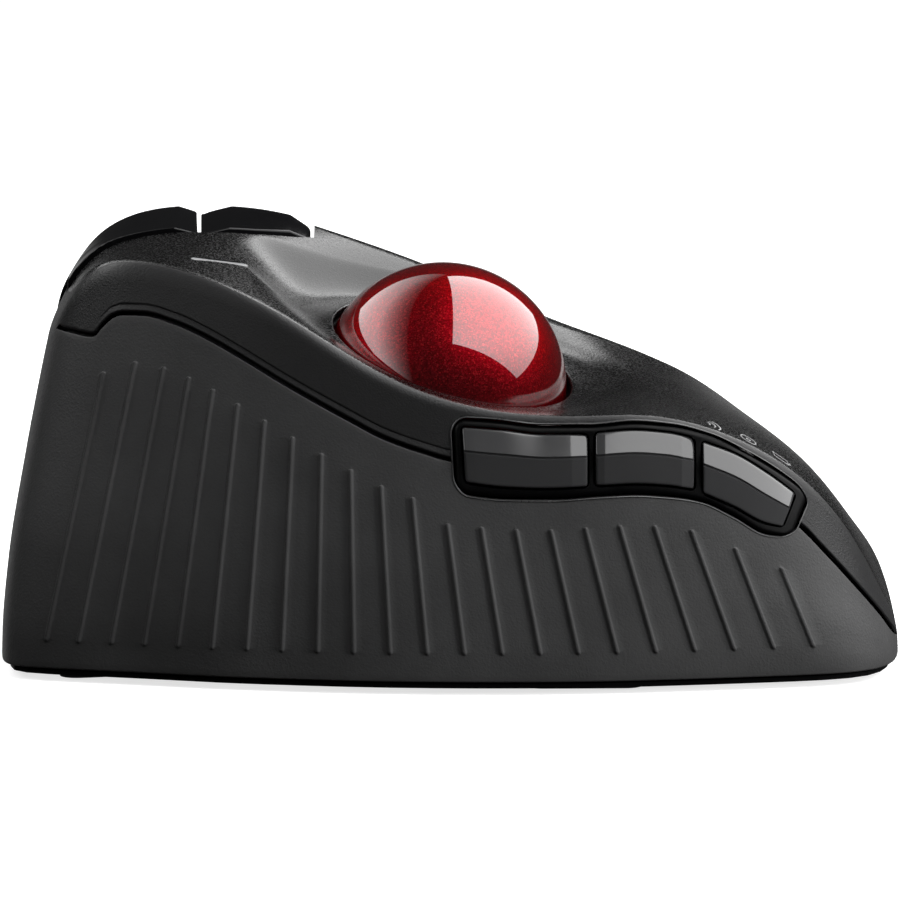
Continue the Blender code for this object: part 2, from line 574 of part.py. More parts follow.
# ---------------------------------------------------------------- thumb buttons and their frame
def thumb(x, z):
    """The y of the thumb wall at (x, z)."""
    x, z = np.broadcast_arrays(np.asarray(x, float), np.asarray(z, float))
    a, b = np.full(x.shape, 2.0), np.full(x.shape, 18.0)
    for _ in range(18):
        m = (a + b) / 2
        less = skin(m, wall_lam(m, z))[..., 0] < x
        a, b = np.where(less, m, a), np.where(less, b, m)
    return skin(a, wall_lam(a, z))[..., 1]


def panel(low, high, u, v, grow=0.0):
    """(x, z) points of a four-sided outline between a low and a high edge, u along it and v up it."""
    lx, lz = np.array(sorted(low)).T
    hx, hz = np.array(sorted(high)).T
    u = np.asarray(u, float)[:, None]
    v = np.asarray(v, float)[None, :]
    tall = (hz.mean() - lz.mean())
    wide = (hx[-1] - hx[0])
    u = 0.5 + (u - 0.5) * (1 + 2 * grow / wide)
    v = 0.5 + (v - 0.5) * (1 + 2 * grow / tall)
    xl, xh = lx[0] + (lx[-1] - lx[0]) * u, hx[0] + (hx[-1] - hx[0]) * u
    zl, zh = smooth(lx, lz, xl), smooth(hx, hz, xh)
    return xl + (xh - xl) * v, zl + (zh - zl) * v


def slab(name, low, high, u, v, lift, back, look, grow=0.0, **kw):
    """A piece of the thumb wall: lift is how far each row stands out of the skin, back how deep it goes."""
    x, z = panel(low, high, u, v, grow)
    y = thumb(np.clip(x, -50, 60), z)
    out = np.stack([x, y - np.asarray(lift, float)[None, :], z], -1)
    return lofted(name, out, np.stack([x, y + back, z], -1), look, **kw)


span = np.linspace(0, 1, 13)
bezel = slab("side_button_bezel", FRAME_BOTTOM, FRAME_TOP, span, [0, 0.5, 1], [0.25] * 3, 2.0, GLOSS)
frame_cut = slab("bezel_opening", FRAME_BOTTOM, FRAME_TOP, span, [0, 0.5, 1], [3.0] * 3, 3.1, SATIN, grow=0.35, cutter=True)
cut(lower_shell, frame_cut)
cut(top_cover, frame_cut)
for name, (high, low), n in (("side_button_front", BUTTON_A, 6), ("side_button_middle", BUTTON_B, 5), ("side_button_rear", BUTTON_C, 5)):
    u = np.linspace(0, 1, n)
    slab(name, low, high, u, [0, 0.6, 1], [0.5, 1.25, 0.35], 1.5, GLOSS)
    hole = slab("hole_" + name, low, high, u, [0, 0.6, 1], [3.0] * 3, 3.5, SATIN, grow=0.36, cutter=True)
    cut(bezel, hole)

# ---------------------------------------------------------------- ball and socket
axis = tuple(RING_N)
ball("trackball", BALL_C, BALL_R, RED, 28, 16, origin=BALL_C)
arc = [math.radians(a) for a in (-80, -64, -48, -32, -16, 0, 7.5)]
profile = [(CUP_R * math.cos(a), CUP_R * math.sin(a)) for a in arc] + [(19.0 * math.cos(a), 19.0 * math.sin(a)) for a in arc[::-1]]
socket = turned("ball_socket", profile, BALL_C, axis, NATURAL, steps=32)
for k, turn in enumerate((90, 210, 330)):
    t, f = math.radians(turn), math.radians(-38)
    d = math.cos(f) * (math.cos(t) * _e1 + math.sin(t) * _e2) + math.sin(f) * RING_N
    ball("support_bearing_%d" % (k + 1), BALL_C + d * (BALL_R + 0.3 + 1.25), 1.25, WHITE, 12, 8)
    cut(socket, cylinder("bearing_seat_%d" % (k + 1), BALL_C + d * 18.3, d, 1.6, 4.0, SATIN, sides=16, cutter=True))
cylinder("sensor_lens", BALL_C - RING_N * 20.2, axis, 4.2, 1.5, CLEAR, sides=20)
cylinder("sensor_board", BALL_C - RING_N * 21.9, axis, 6.2, 1.2, GREEN, sides=24)
q = Vector(axis).to_track_quat("Z", "Y").to_matrix()
box("motion_sensor", BALL_C - RING_N * 23.9, (6.5, 6.5, 2.0), NATURAL, turn=q, flat=True)
turned("socket_pedestal", [(15.2, 3.3), (15.2, 26.3), (16.6, 26.3), (16.6, 4.6), (19.0, 4.6), (19.0, 3.3)],
       (BALL_C[0], BALL_C[1], 0), (0, 0, 1), NATURAL, steps=32, flip=True)

# ---------------------------------------------------------------- base, feet and screws
foot_loop = loop(np.arange(0, N_ST, 0.6))[:, :2]
rims = [(inset(foot_loop, 1.1), PLATE_Z0), (inset(foot_loop, 1.1), 1.25), (inset(foot_loop, 2.75), 1.25),
        (inset(foot_loop, 2.75), PLATE_Z1)]
bm = bmesh.new()
rows = [[bm.verts.new((x * MM, y * MM, z * MM)) for x, y in pts] for pts, z in rims]
for a, b in zip(rows, rows[1:]):
    for i in range(len(a)):
        k = (i + 1) % len(a)
        bm.faces.new((a[i], a[k], b[k], b[i]))
bm.faces.new(rows[0][::-1])
bm.faces.new(rows[-1])
bmesh.ops.recalc_face_normals(bm, faces=bm.faces)
base_plate = add("base_plate", bm, NATURAL)


def stadium(cx, cy, length, width, turn=0.0, n=6):
    """An oblong (x, y) outline with round ends."""
    r, h = width / 2, (length - width) / 2
    pts = [(h + r * math.cos(a), r * math.sin(a)) for a in np.linspace(-math.pi / 2, math.pi / 2, n)]
    pts += [(-h + r * math.cos(a), r * math.sin(a)) for a in np.linspace(math.pi / 2, 3 * math.pi / 2, n)]
    c, s = math.cos(math.radians(turn)), math.sin(math.radians(turn))
    return [(cx + x * c - y * s, cy + x * s + y * c) for x, y in pts]


for name, spec in (("foot_front_left", (-46.0, -19.5, 15, 5, 16)), ("foot_front_right", (-46.0, 19.5, 15, 5, -24)),
                   ("foot_rear", (55.0, -1.5, 16, 5, 90)), ("foot_left", (18.0, -31.0, 16, 5, 2)),
                   ("foot_right", (24.0, 29.5, 16, 5, -12))):
    plate(name, stadium(*spec), 0.0, 0.6, RUBBER)

# four screws up through the base plate into bosses on the skirt: x, y and the height of the boss
SCREWS = [(-28.8, -28.9, 8.0), (36.8, -29.6, 8.0), (39.7, 25.1, 5.2), (-39.6, 26.9, 5.2)]
for k, (x, y, top) in enumerate(SCREWS):
    turned("screw_%d" % (k + 1), [(0, 0.8), (1.9, 0.8), (1.9, 2.0), (0.95, 2.0), (0.95, 4.9), (0, 4.9)], (x, y, 0), (0, 0, 1),
           STEEL, steps=16, flip=True)
    cut(base_plate, cylinder("screw_bore_%d" % (k + 1), (x, y, 2.0), (0, 0, 1), 1.35, 6.0, SATIN, sides=16, cutter=True))
    cut(base_plate, cylinder("screw_recess_%d" % (k + 1), (x, y, 0.85), (0, 0, 1), 2.3, 3.0, SATIN, sides=20, cutter=True))
    cut(lower_shell, cylinder("boss_%d" % (k + 1), (x, y, (3.35 + top) / 2), (0, 0, 1), 3.7, top - 3.35, SATIN, sides=20,
                              cutter=True), "UNION")
    cut(lower_shell, cylinder("thread_%d" % (k + 1), (x, y, 3.3), (0, 0, 1), 1.3, 3.9 if top > 6 else 6.0, SATIN, sides=16,
                              cutter=True))


# ---------------------------------------------------------------- finger side: wheel, carrier, switches
wheel_at = skin(np.array([31.0, 31.02, 31.0]), np.array([0.47, 0.47, 0.471]))
along = wheel_at[0] - wheel_at[1]
along /= np.linalg.norm(along)                         # rearwards along the skin
upslope = wheel_at[2] - wheel_at[0]
upslope -= along * (upslope @ along)
upslope /= np.linalg.norm(upslope)
outward = np.cross(upslope, along)
outward *= np.sign(outward[1])
WHEEL_R = 11.0
WHEEL_C = wheel_at[0] + outward * (3.0 - WHEEL_R)
frame3 = Matrix((along, upslope, outward)).transposed()        # columns: along, upslope, outward
if frame3.determinant() < 0:
    frame3 = Matrix((-along, upslope, outward)).transposed()


def at_wheel(a, u, o):
    """A point given along, up the slope and outward from the wheel's centre."""
    return WHEEL_C + along * a + upslope * u + outward * o


tread = [(8.7, -2.7), (10.5, -2.7), (11.0, -2.2), (11.0, 2.2), (10.5, 2.7), (8.7, 2.7)]
turned("scroll_wheel_tire", tread, WHEEL_C, upslope, RUBBER, steps=32)
turned("scroll_wheel_hub", [(0, -6.8), (1.2, -6.8), (1.2, -2.9), (8.4, -2.9), (8.4, 2.9), (1.2, 2.9), (1.2, 6.8), (0, 6.8)],
       WHEEL_C, upslope, NATURAL, steps=28, flip=True)
cut(right_cover, box("wheel_slot", at_wheel(0, 0, 8.0), (20.6, 6.7, 12.0), SATIN, turn=frame3, cutter=True, flat=True))
bm = bmesh.new()
yoke = [(-5.9, -13.6), (5.9, -13.6), (5.9, 2.4), (4.3, 2.4), (4.3, -12.0), (-4.3, -12.0), (-4.3, 2.4), (-5.9, 2.4)]
sides = [[bm.verts.new(Vector(at_wheel(a, u, o)) * MM) for u, o in yoke] for a in (-3.0, 3.0)]
bm.faces.new(sides[0])
bm.faces.new(sides[1][::-1])
for i in range(8):
    bm.faces.new((sides[0][i], sides[1][i], sides[1][(i + 1) % 8], sides[0][(i + 1) % 8]))
bmesh.ops.recalc_face_normals(bm, faces=bm.faces)
carrier = add("wheel_carrier", bm, NATURAL, flat=True)
cut(carrier, cylinder("axle_bore", WHEEL_C, upslope, 1.55, 20, SATIN, sides=20, cutter=True))
box("wheel_encoder", at_wheel(0, -8.9, 0), (7.0, 3.4, 9.0), NATURAL, turn=frame3, flat=True)
box("wheel_switch", at_wheel(0, 0, -16.4), (6.0, 6.0, 3.6), NATURAL, turn=frame3, flat=True)
box("finger_board", at_wheel(-3.0, 1.0, -19.3), (24.0, 20.0, 1.4), GREEN, turn=frame3, flat=True)


def behind(s0, lam0, deep):
    """A point deep inside the skin at (s, lam), and the outward direction there."""
    p = skin(np.array([s0, s0 + 0.02, s0]), np.array([lam0, lam0, lam0 + 0.002]))
    n = np.cross(p[1] - p[0], p[2] - p[0])
    n /= np.linalg.norm(n)
    n *= np.sign(n[1])
    return p[0] - n * deep


box("left_click_switch", behind(31.6, 0.73, 8.7), (12.8, 5.8, 7.0), NATURAL, turn=frame3, flat=True)
box("right_click_switch", behind(31.6, 0.2, 8.7), (12.8, 5.8, 7.0), NATURAL, turn=frame3, flat=True)
box("crest_board", (-34.5, 5.5, 47.0), (24.0, 9.0, 1.2), GREEN, flat=True)
box("forward_switch", (-41.0, 6.0, 50.5), (6.0, 6.0, 5.4), NATURAL, flat=True)
box("back_switch", (-27.5, 7.0, 50.5), (6.0, 6.0, 5.4), NATURAL, flat=True)

# ---------------------------------------------------------------- thumb side: board and three switches
slope = math.atan2(6.5, 34.0)
tilt = Matrix.Rotation(slope, 3, "Z")
box("thumb_board", (24.0, -25.4, 28.0), (28.0, 1.0, 5.6), GREEN, turn=tilt, flat=True)
for name, x, z in (("side_switch_front", 13.0, 29.2), ("side_switch_middle", 25.6, 29.4), ("side_switch_rear", 36.6, 28.2)):
    back = float(thumb(np.array([x]), np.array([z]))[0]) + 1.5 + (2.4 if x > 30 else 1.5)
    board = -25.4 + (x - 24.0) * math.tan(slope) - 1.2
    box(name, (x, (back + board) / 2, z), (3.6, board - back, 3.4), NATURAL, flat=True)

# ---------------------------------------------------------------- power and electronics
cylinder("battery", (-3.0, 20.2, 11.4), (1, 0, 0), 7.2, 49.0, CELL, sides=28)
box("battery_contact_front", (-28.3, 20.2, 10.6), (0.6, 9.0, 12.0), STEEL, flat=True)
box("battery_contact_rear", (22.3, 20.2, 10.6), (0.6, 9.0, 12.0), STEEL, flat=True)
box("main_board", (37.0, -10.0, 6.2), (30.0, 24.0, 1.4), GREEN, flat=True)
box("radio_module", (42.0, -6.0, 8.2), (14.0, 10.0, 2.0), STEEL, flat=True)
box("usb_receiver", (36.0, 10.0, 5.9), (18.5, 12.0, 4.4), NATURAL, flat=True)
box("power_switch_body", (-40.0, 0.0, 5.6), (9.0, 5.0, 3.6), NATURAL, flat=True)
box("power_switch", (-41.9, 0.0, 1.9), (4.0, 3.6, 2.0), GLOSS, flat=True)
cut(base_plate, box("power_slot", (-40.0, 0.0, 2.0), (8.2, 4.4, 6.0), SATIN, cutter=True, flat=True))
plate("battery_door", stadium(-3.0, 19.0, 56.0, 16.0, 0, 7), 0.75, 2.5, NATURAL)
cut(base_plate, plate("door_bay", stadium(-3.0, 19.0, 56.8, 16.8, 0, 7), -1, 5, SATIN, cutter=True))

# ---------------------------------------------------------------- light bar and indicator lenses in the top cover


def upright(x, y):
    """Height of the upper face at (x, y) and its upward direction."""
    z = [float(upper_face(np.array(a), np.array(b), 0.0)) for a, b in ((x, y), (x + 0.05, y), (x, y + 0.05))]
    n = np.array([-(z[1] - z[0]) / 0.05, -(z[2] - z[0]) / 0.05, 1.0])
    return np.array([x, y, z[0]]), n / np.linalg.norm(n)


for k, (x, y) in enumerate(((35.6, -26.3), (40.4, -24.5), (45.0, -22.6))):
    p, n = upright(x, y)
    cylinder("indicator_lens_%d" % (k + 1), p - n * 0.55, n, 1.1, 1.0, CLEAR, sides=16)
    cut(top_cover, cylinder("lens_seat_%d" % (k + 1), p + n * 0.9, n, 1.16, 4.1, SATIN, sides=16, cutter=True))
p, n = upright(-31.5, -13.6)
q, _ = upright(-27.0, -12.4)
t = q - p
t -= n * (n @ t)
t /= np.linalg.norm(t)
bar_turn = Matrix((t, np.cross(n, t), n)).transposed()
box("status_light_bar", p - n * 0.75, (8.0, 0.6, 1.2), CLEAR, turn=bar_turn, flat=True)
cut(top_cover, box("light_slot", p - n * 0.2, (8.12, 0.72, 2.6), SATIN, turn=bar_turn, cutter=True, flat=True))
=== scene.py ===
"""Looks for the thumb-operated trackball mouse: finely shaped outer mouldings, buttons and ball round the fixed CAD frame,
procedural materials, a pale floor, two soft panels and the camera. Lengths in the shape functions are millimetres; MM makes metres."""

import math

import bmesh
import bpy
import numpy as np
from mathutils import Matrix, Vector


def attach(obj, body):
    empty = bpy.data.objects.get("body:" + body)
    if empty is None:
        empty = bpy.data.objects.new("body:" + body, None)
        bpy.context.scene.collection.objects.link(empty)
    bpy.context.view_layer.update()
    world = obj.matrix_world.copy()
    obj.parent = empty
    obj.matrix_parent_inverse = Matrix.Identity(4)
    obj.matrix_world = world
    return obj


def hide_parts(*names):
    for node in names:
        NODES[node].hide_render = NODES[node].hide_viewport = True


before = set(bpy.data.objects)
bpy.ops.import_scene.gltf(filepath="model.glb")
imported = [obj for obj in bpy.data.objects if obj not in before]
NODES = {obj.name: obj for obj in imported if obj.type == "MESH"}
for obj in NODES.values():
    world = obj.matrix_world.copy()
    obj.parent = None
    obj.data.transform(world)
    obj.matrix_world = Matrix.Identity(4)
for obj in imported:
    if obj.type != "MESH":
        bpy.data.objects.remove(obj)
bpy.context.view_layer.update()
MM = 0.001


# ---------------------------------------------------------------- driving dimensions (mm)
BALL_R = 17.0                      # 34 mm thumb ball
BALL_C = np.array([-1.0, -11.0, 38.85])
CUP_R = 17.6                       # running clearance of 0.6 all round the ball
RING_H = 5.0                       # the opening lies this far above the ball's centre
RING_N = np.array([0.28, -0.25, 0.927])
RING_N = RING_N / np.linalg.norm(RING_N)

WALL = 2.0                         # moulded wall
SKIRT_Z = 1.6                      # lower edge of the skirt
PLATE_Z0, PLATE_Z1 = 0.65, 3.0     # base plate, bottom and top
RIM_Z = 5.4                        # height of the skirt on the finger side
GAP = 0.45                         # shut line between mouldings
CLICK_GAP = 0.6                    # shut line round a moving plate

# Stations round the body, counter-clockwise from the middle of the front:
# footprint x, y and shoulder x, y, z (the crease on the thumb side, the ridge on the finger side).
STATIONS = [
    (-62.2, -3.0, -54.9, -3.0, 48.7),
    (-61.6, -14.0, -54.3, -8.5, 48.6),
    (-60.0, -21.5, -52.2, -12.0, 51.6),
    (-55.0, -25.0, -49.0, -14.2, 54.8),
    (-48.0, -27.5, -45.0, -16.5, 56.3),
    (-40.0, -30.2, -38.5, -19.4, 55.7),
    (-31.0, -33.5, -31.0, -23.0, 53.4),
    (-22.0, -35.8, -22.0, -27.3, 49.3),
    (-12.0, -37.8, -12.0, -30.8, 43.6),
    (-2.0, -38.8, -2.0, -32.8, 39.3),
    (8.0, -39.0, 8.0, -33.5, 37.2),
    (18.0, -38.4, 18.0, -33.2, 36.8),
    (27.0, -37.0, 27.0, -32.0, 36.7),
    (36.0, -35.0, 36.0, -29.2, 34.3),
    (44.0, -33.0, 44.0, -25.7, 30.1),
    (51.0, -30.8, 51.0, -22.0, 24.1),
    (56.8, -27.0, 56.3, -18.7, 16.5),
    (60.2, -20.5, 59.7, -14.8, 9.7),
    (61.7, -12.0, 61.6, -9.0, 5.7),
    (62.2, -3.0, 62.1, -3.0, 5.2),
    (61.8, 5.0, 61.4, 2.5, 9.2),
    (60.5, 12.0, 59.0, 4.0, 14.9),
    (56.8, 18.8, 54.3, 4.8, 20.9),
    (51.0, 24.6, 48.0, 5.8, 27.3),
    (42.0, 29.6, 41.0, 6.9, 33.4),
    (32.0, 33.5, 31.5, 8.4, 40.2),
    (20.0, 36.3, 20.0, 10.2, 45.4),
    (8.0, 37.4, 8.0, 11.5, 50.4),
    (-4.0, 37.6, -4.0, 12.0, 55.5),
    (-16.0, 37.0, -15.5, 12.0, 59.3),
    (-27.0, 35.6, -26.0, 11.7, 61.8),
    (-37.0, 33.2, -36.0, 11.0, 62.1),
    (-46.0, 29.6, -43.5, 10.3, 61.1),
    (-53.5, 24.5, -49.0, 9.0, 58.2),
    (-59.0, 16.8, -52.4, 6.6, 54.0),
    (-61.6, 7.5, -54.4, 2.6, 50.0),
]
N_ST = len(STATIONS)
REAR = 19                          # the station at the middle of the rear

# Shut line between skirt and top cover, along x on the thumb side (x, z).
PARTING = [(-62, 47.1), (-54.3, 46.9), (-52.0, 46.6), (-48.7, 46.2), (-47.4, 47.5), (-46.0, 48.8), (-44.4, 49.3),
           (-41.8, 49.3), (-37.5, 48.3), (-33.3, 46.6), (-29.2, 44.5), (-21.7, 40.3), (-13.5, 36.0), (-9.1, 33.8),
           (-3.6, 31.9), (0.2, 30.9), (10.0, 30.2), (20.0, 29.9), (30.0, 28.9), (38.0, 26.4), (47.3, 21.1),
           (50.1, 18.2), (54.3, 13.6), (58.6, 8.5), (61.0, 5.1), (62.4, 3.5)]

# Outline of the thumb-button frame, seen from the thumb side (x, z), clockwise from its top left corner.
FRAME_TOP = [(0.4, 36.4), (5.6, 36.1), (12.4, 35.4), (18.8, 35.4), (24.4, 35.8), (29.6, 35.3), (34.8, 33.9),
             (40.0, 31.3), (45.4, 27.8), (48.6, 25.2)]
FRAME_BOTTOM = [(46.1, 20.0), (42.6, 20.7), (38.3, 23.2), (33.8, 25.4), (29.6, 26.2), (24.4, 26.6), (19.3, 26.4),
                (14.1, 26.1), (7.3, 26.2), (0.9, 26.9)]
# Thumb buttons: top edge and bottom edge (x, z).
BUTTON_A = ([(1.6, 35.4), (7.0, 35.0), (12.8, 34.4), (18.4, 34.4)], [(18.4, 27.6), (12.8, 27.4), (7.2, 27.6), (2.1, 28.2)])
BUTTON_B = ([(19.5, 34.6), (24.5, 34.9), (29.0, 34.5), (32.8, 33.6)], [(32.8, 26.9), (29.0, 27.6), (24.5, 27.9), (19.5, 27.7)])
BUTTON_C = ([(34.0, 33.1), (38.6, 31.2), (43.0, 28.4), (46.7, 25.6)], [(44.9, 21.4), (42.2, 22.2), (38.3, 24.4), (34.0, 26.4)])


# ---------------------------------------------------------------- curves
def closed_spline(rows):
    """A closed cubic spline through rows; returns f(s) for an array s counted in rows."""
    p = np.array(rows, float)
    n = len(p)
    a = np.zeros((n, n))
    for i in range(n):
        a[i, i] = 4
        a[i, (i - 1) % n] += 1
        a[i, (i + 1) % n] += 1
    m = np.linalg.solve(a, 6 * (np.roll(p, -1, 0) - 2 * p + np.roll(p, 1, 0)))

    def f(s):
        s = np.asarray(s, float) % n
        i = np.floor(s).astype(int) % n
        j = (i + 1) % n
        t = (s - np.floor(s))[..., None]
        return (m[i] * (1 - t) ** 3 + m[j] * t**3) / 6 + (p[i] - m[i] / 6) * (1 - t) + (p[j] - m[j] / 6) * t

    return f


def smooth(x, y, at):
    """A shape-preserving cubic through points with x increasing (monotone between points)."""
    x, y = np.asarray(x, float), np.asarray(y, float)
    h, d = np.diff(x), np.diff(y) / np.diff(x)
    m = np.zeros(len(x))
    for i in range(1, len(x) - 1):
        if d[i - 1] * d[i] > 0:
            w1, w2 = 2 * h[i] + h[i - 1], h[i] + 2 * h[i - 1]
            m[i] = (w1 + w2) / (w1 / d[i - 1] + w2 / d[i])
    m[0], m[-1] = d[0], d[-1]
    at = np.clip(np.asarray(at, float), x[0], x[-1])
    i = np.clip(np.searchsorted(x, at, side="right") - 1, 0, len(x) - 2)
    t = (at - x[i]) / h[i]
    return ((1 + 2 * t) * (1 - t) ** 2 * y[i] + t * (1 - t) ** 2 * h[i] * m[i]
            + t * t * (3 - 2 * t) * y[i + 1] + t * t * (t - 1) * h[i] * m[i + 1])


def step(a, b, x):
    t = np.clip((np.asarray(x, float) - a) / (b - a), 0, 1)
    return t * t * (3 - 2 * t)


# ---------------------------------------------------------------- the outer skin
loop = closed_spline(STATIONS)
_s = np.linspace(0, REAR, 400)
_l = loop(_s)
_o = np.argsort(_l[:, 2])
LEFT = _l[_o][:, 2:5]              # the crease as x, y, z with x increasing
_s = np.linspace(REAR, N_ST, 400)
_l = loop(_s)
_o = np.argsort(_l[:, 2])
RIGHT = _l[_o][:, 2:5]             # the ridge

_e1 = np.cross([0.0, 1.0, 0.0], RING_N)
_e1 /= np.linalg.norm(_e1)
_e2 = np.cross(RING_N, _e1)


def upper_face(x, y, d):
    """Height of the face between crease and ridge, d below the skin."""
    ramp = step(38, 56, x) - step(-38, -50, x)
    xe = np.clip(x + 0.8 * d * ramp, -54.6, 62.2)
    yc, zc = np.interp(xe, LEFT[:, 0], LEFT[:, 1]), np.interp(xe, LEFT[:, 0], LEFT[:, 2])
    yr, zr = np.interp(xe, RIGHT[:, 0], RIGHT[:, 1]), np.interp(xe, RIGHT[:, 0], RIGHT[:, 2])
    k = np.clip((y - yc) / np.maximum(yr - yc, 1e-3), 0, 1)
    hollow = smooth([-54, -46, -34, -20, -5, 12, 26, 36, 48, 62], [0, 0.3, -0.5, 0.3, 1.6, 1.8, 0.8, -0.8, -1.8, 0], xe)
    far = np.hypot((x - BALL_C[0]) * 0.96, y - BALL_C[1])
    dish = 2.2 * (1 - step(17.5, 27.0, far)) * step(0.0, 0.3, k) * step(0.0, 0.35, 1 - k)
    return zc + (zr - zc) * k - hollow * 4 * k * (1 - k) - dish - d


def side_weight(s):
    """0 on the thumb side, 1 on the finger side."""
    s = np.asarray(s, float) % N_ST
    return step(18.8, 23.0, s) * (1 - step(33.0, 35.8, s))


def shoulder_radius(s):
    s = np.asarray(s, float) % N_ST
    return smooth([0, 2, 5, 8, 10, 14, 16, 18.5, 20, 22, 25, 31, 33, 35, 36],
                  [3.5, 3.2, 2.4, 1.5, 1.1, 1.1, 1.5, 1.2, 1.6, 4.0, 5.0, 5.0, 4.0, 3.6, 3.5], s)




# ---------------------------------------------------------------- the same skin, for arrays of depth
def skin_parts(s, d):
    eps = 1e-3
    row, ahead = loop(s), loop(s + eps)
    b, sh = row[..., :2], row[..., 2:4]
    tb, ts = ahead[..., :2] - b, ahead[..., 2:4] - sh
    tb = tb / np.linalg.norm(tb, axis=-1, keepdims=True)
    ts = ts / np.linalg.norm(ts, axis=-1, keepdims=True)
    dd = d[..., None]
    b2 = b + dd * np.stack([-tb[..., 1], tb[..., 0]], -1)
    sh2 = sh + dd * np.stack([-ts[..., 1], ts[..., 0]], -1)
    top_z = row[..., 4] + upper_face(sh2[..., 0], sh2[..., 1], d) - upper_face(sh[..., 0], sh[..., 1], 0 * d)
    return row, b2, sh2, top_z


def opening_point(angle, d):
    h = RING_H - d
    r = np.sqrt(CUP_R**2 - h**2)
    return (BALL_C + RING_N * h[..., None] + r[..., None]
            * (np.cos(angle)[..., None] * _e1 + np.sin(angle)[..., None] * _e2))


def lengths(s):
    """Wall length, top length and the shares of them that the shoulder takes."""
    s = np.asarray(s, float)
    row, b, sh, tz = skin_parts(s, 0 * s)
    ring = opening_point(ring_angle(row), 0 * s)
    base3 = np.concatenate([b, np.full_like(tz, SKIRT_Z)[..., None]], -1)
    sh3 = np.concatenate([sh, tz[..., None]], -1)
    lw, lt = np.linalg.norm(base3 - sh3, axis=-1), np.linalg.norm(ring - sh3, axis=-1)
    rho = shoulder_radius(s)
    return lw, lt, np.minimum(rho / lw, 0.45), np.minimum(rho / lt, 0.6)


def ring_angle(row):
    c = BALL_C + RING_N * RING_H
    return np.arctan2(row[..., 3] - c[1], row[..., 2] - c[0])


def skin(s, lam, d=0.0):
    """Point of the skin, d inside it. s counts stations; lam is 0..1 up the wall, 1..2 over the shoulder, 2..3 to the ball opening."""
    s, lam, d = np.broadcast_arrays(np.asarray(s, float), np.asarray(lam, float), np.asarray(d, float))
    row, b, sh, top_z = skin_parts(s, d)
    w = side_weight(s)
    lw, lt, ur, vr = lengths(s)

    def wall(u):
        left = smooth([0, 0.17, 0.43, 0.72, 0.93, 1.0], [0, 0.235, 0.56, 0.87, 0.99, 1.0], u)
        right = smooth([0, 0.09, 0.30, 0.55, 0.76, 0.9, 1.0], [0, 0.2, 0.47, 0.655, 0.79, 0.965, 1.0], u)
        h = left * (1 - w) + right * w
        xy = sh + (b - sh) * h[..., None]
        return np.concatenate([xy, (top_z + (SKIRT_Z - top_z) * u)[..., None]], -1)

    ring = opening_point(ring_angle(row), d)

    def top(v):
        xy = sh + (ring[..., :2] - sh) * v[..., None]
        z = upper_face(xy[..., 0], xy[..., 1], d)
        z = z + (top_z - upper_face(sh[..., 0], sh[..., 1], d)) * (1 - step(0, 0.2, v))
        near = step(0.62, 1.0, v)
        return np.concatenate([xy, (z * (1 - near) + ring[..., 2] * near)[..., None]], -1)

    sh3 = np.concatenate([sh, top_z[..., None]], -1)
    t = np.clip(lam - 1, 0, 1)[..., None]
    arc = wall(ur) * (1 - t) ** 2 + sh3 * 2 * t * (1 - t) + top(vr) * t**2
    on_wall = wall(1 - np.clip(lam, 0, 1) * (1 - ur))
    on_top = top(vr + np.clip(lam - 2, 0, 1) * (1 - vr))
    return np.where((lam <= 1)[..., None], on_wall, np.where((lam >= 2)[..., None], on_top, arc))


def wall_lam(s, z, d=0.0):
    """lam on the wall at height z."""
    s, z, d = np.broadcast_arrays(np.asarray(s, float), np.asarray(z, float), np.asarray(d, float))
    top_z = skin_parts(s, d)[3]
    ur = lengths(s)[2]
    u = (top_z - z) / (top_z - SKIRT_Z)
    return np.clip((1 - u) / (1 - ur), 0, 1)


def s_of_x(x, z, low=1.0, high=18.9):
    """Station of the thumb wall's point at (x, z)."""
    x, z = np.broadcast_arrays(np.asarray(x, float), np.asarray(z, float))
    a, b = np.full(x.shape, low), np.full(x.shape, high)
    for _ in range(20):
        m = (a + b) / 2
        less = skin(m, wall_lam(m, z))[..., 0] < x
        a, b = np.where(less, m, a), np.where(less, b, m)
    return (a + b) / 2


def thumb(x, z):
    """The y of the thumb wall at (x, z)."""
    s = s_of_x(x, z, 2.0, 18.0)
    return skin(s, wall_lam(s, z))[..., 1]


def parting_of_x(x):
    return smooth([p[0] for p in PARTING], [p[1] for p in PARTING], x)


def parting_z(s):
    """Height of the shut line at station s, thumb side from the front to the rear."""
    s = np.asarray(s, float)
    row = loop(s)
    z = parting_of_x(row[..., 0] * 0.5 + row[..., 2] * 0.5)
    for _ in range(14):
        z = 0.5 * z + 0.5 * parting_of_x(skin(s, wall_lam(s, z))[..., 0])
    return z


SEAM = 0.985                       # lam of the shut line under the ridge
TAIL = 20.3                        # station where the finger-side cover begins
PLATES = 28.55                     # station where the lower click plate begins
CREST = 29.25                      # station where the upper click plate begins
NOSE = 34.62                       # station where the finger side ends at the front
TONGUE = (0.395, 0.545)            # lam of the strip between the click plates
CREST_LOW = 0.875                  # lam of the lower edge of the crest buttons
SHELL = 1.3                        # thickness of the shown mouldings


def skirt_top(s, extra=0.0):
    """Upper edge of the skirt at each station."""
    s = np.asarray(s, float) % N_ST
    z = np.where(s <= REAR, parting_z(np.minimum(s, REAR)), 3.5 + (RIM_Z - 3.5) * step(19.4, 22.5, s))
    x = skin(s, wall_lam(s, z))[..., 0]
    slope = (parting_of_x(x + 0.4) - parting_of_x(x - 0.4)) / 0.8
    stretch = np.where(s <= REAR, np.sqrt(1 + np.minimum(slope**2, 9.0)), 1.0)
    return np.where(s > NOSE + 0.12, 46.9, z) + extra * stretch


# ---------------------------------------------------------------- mesh helpers
MATS = {}


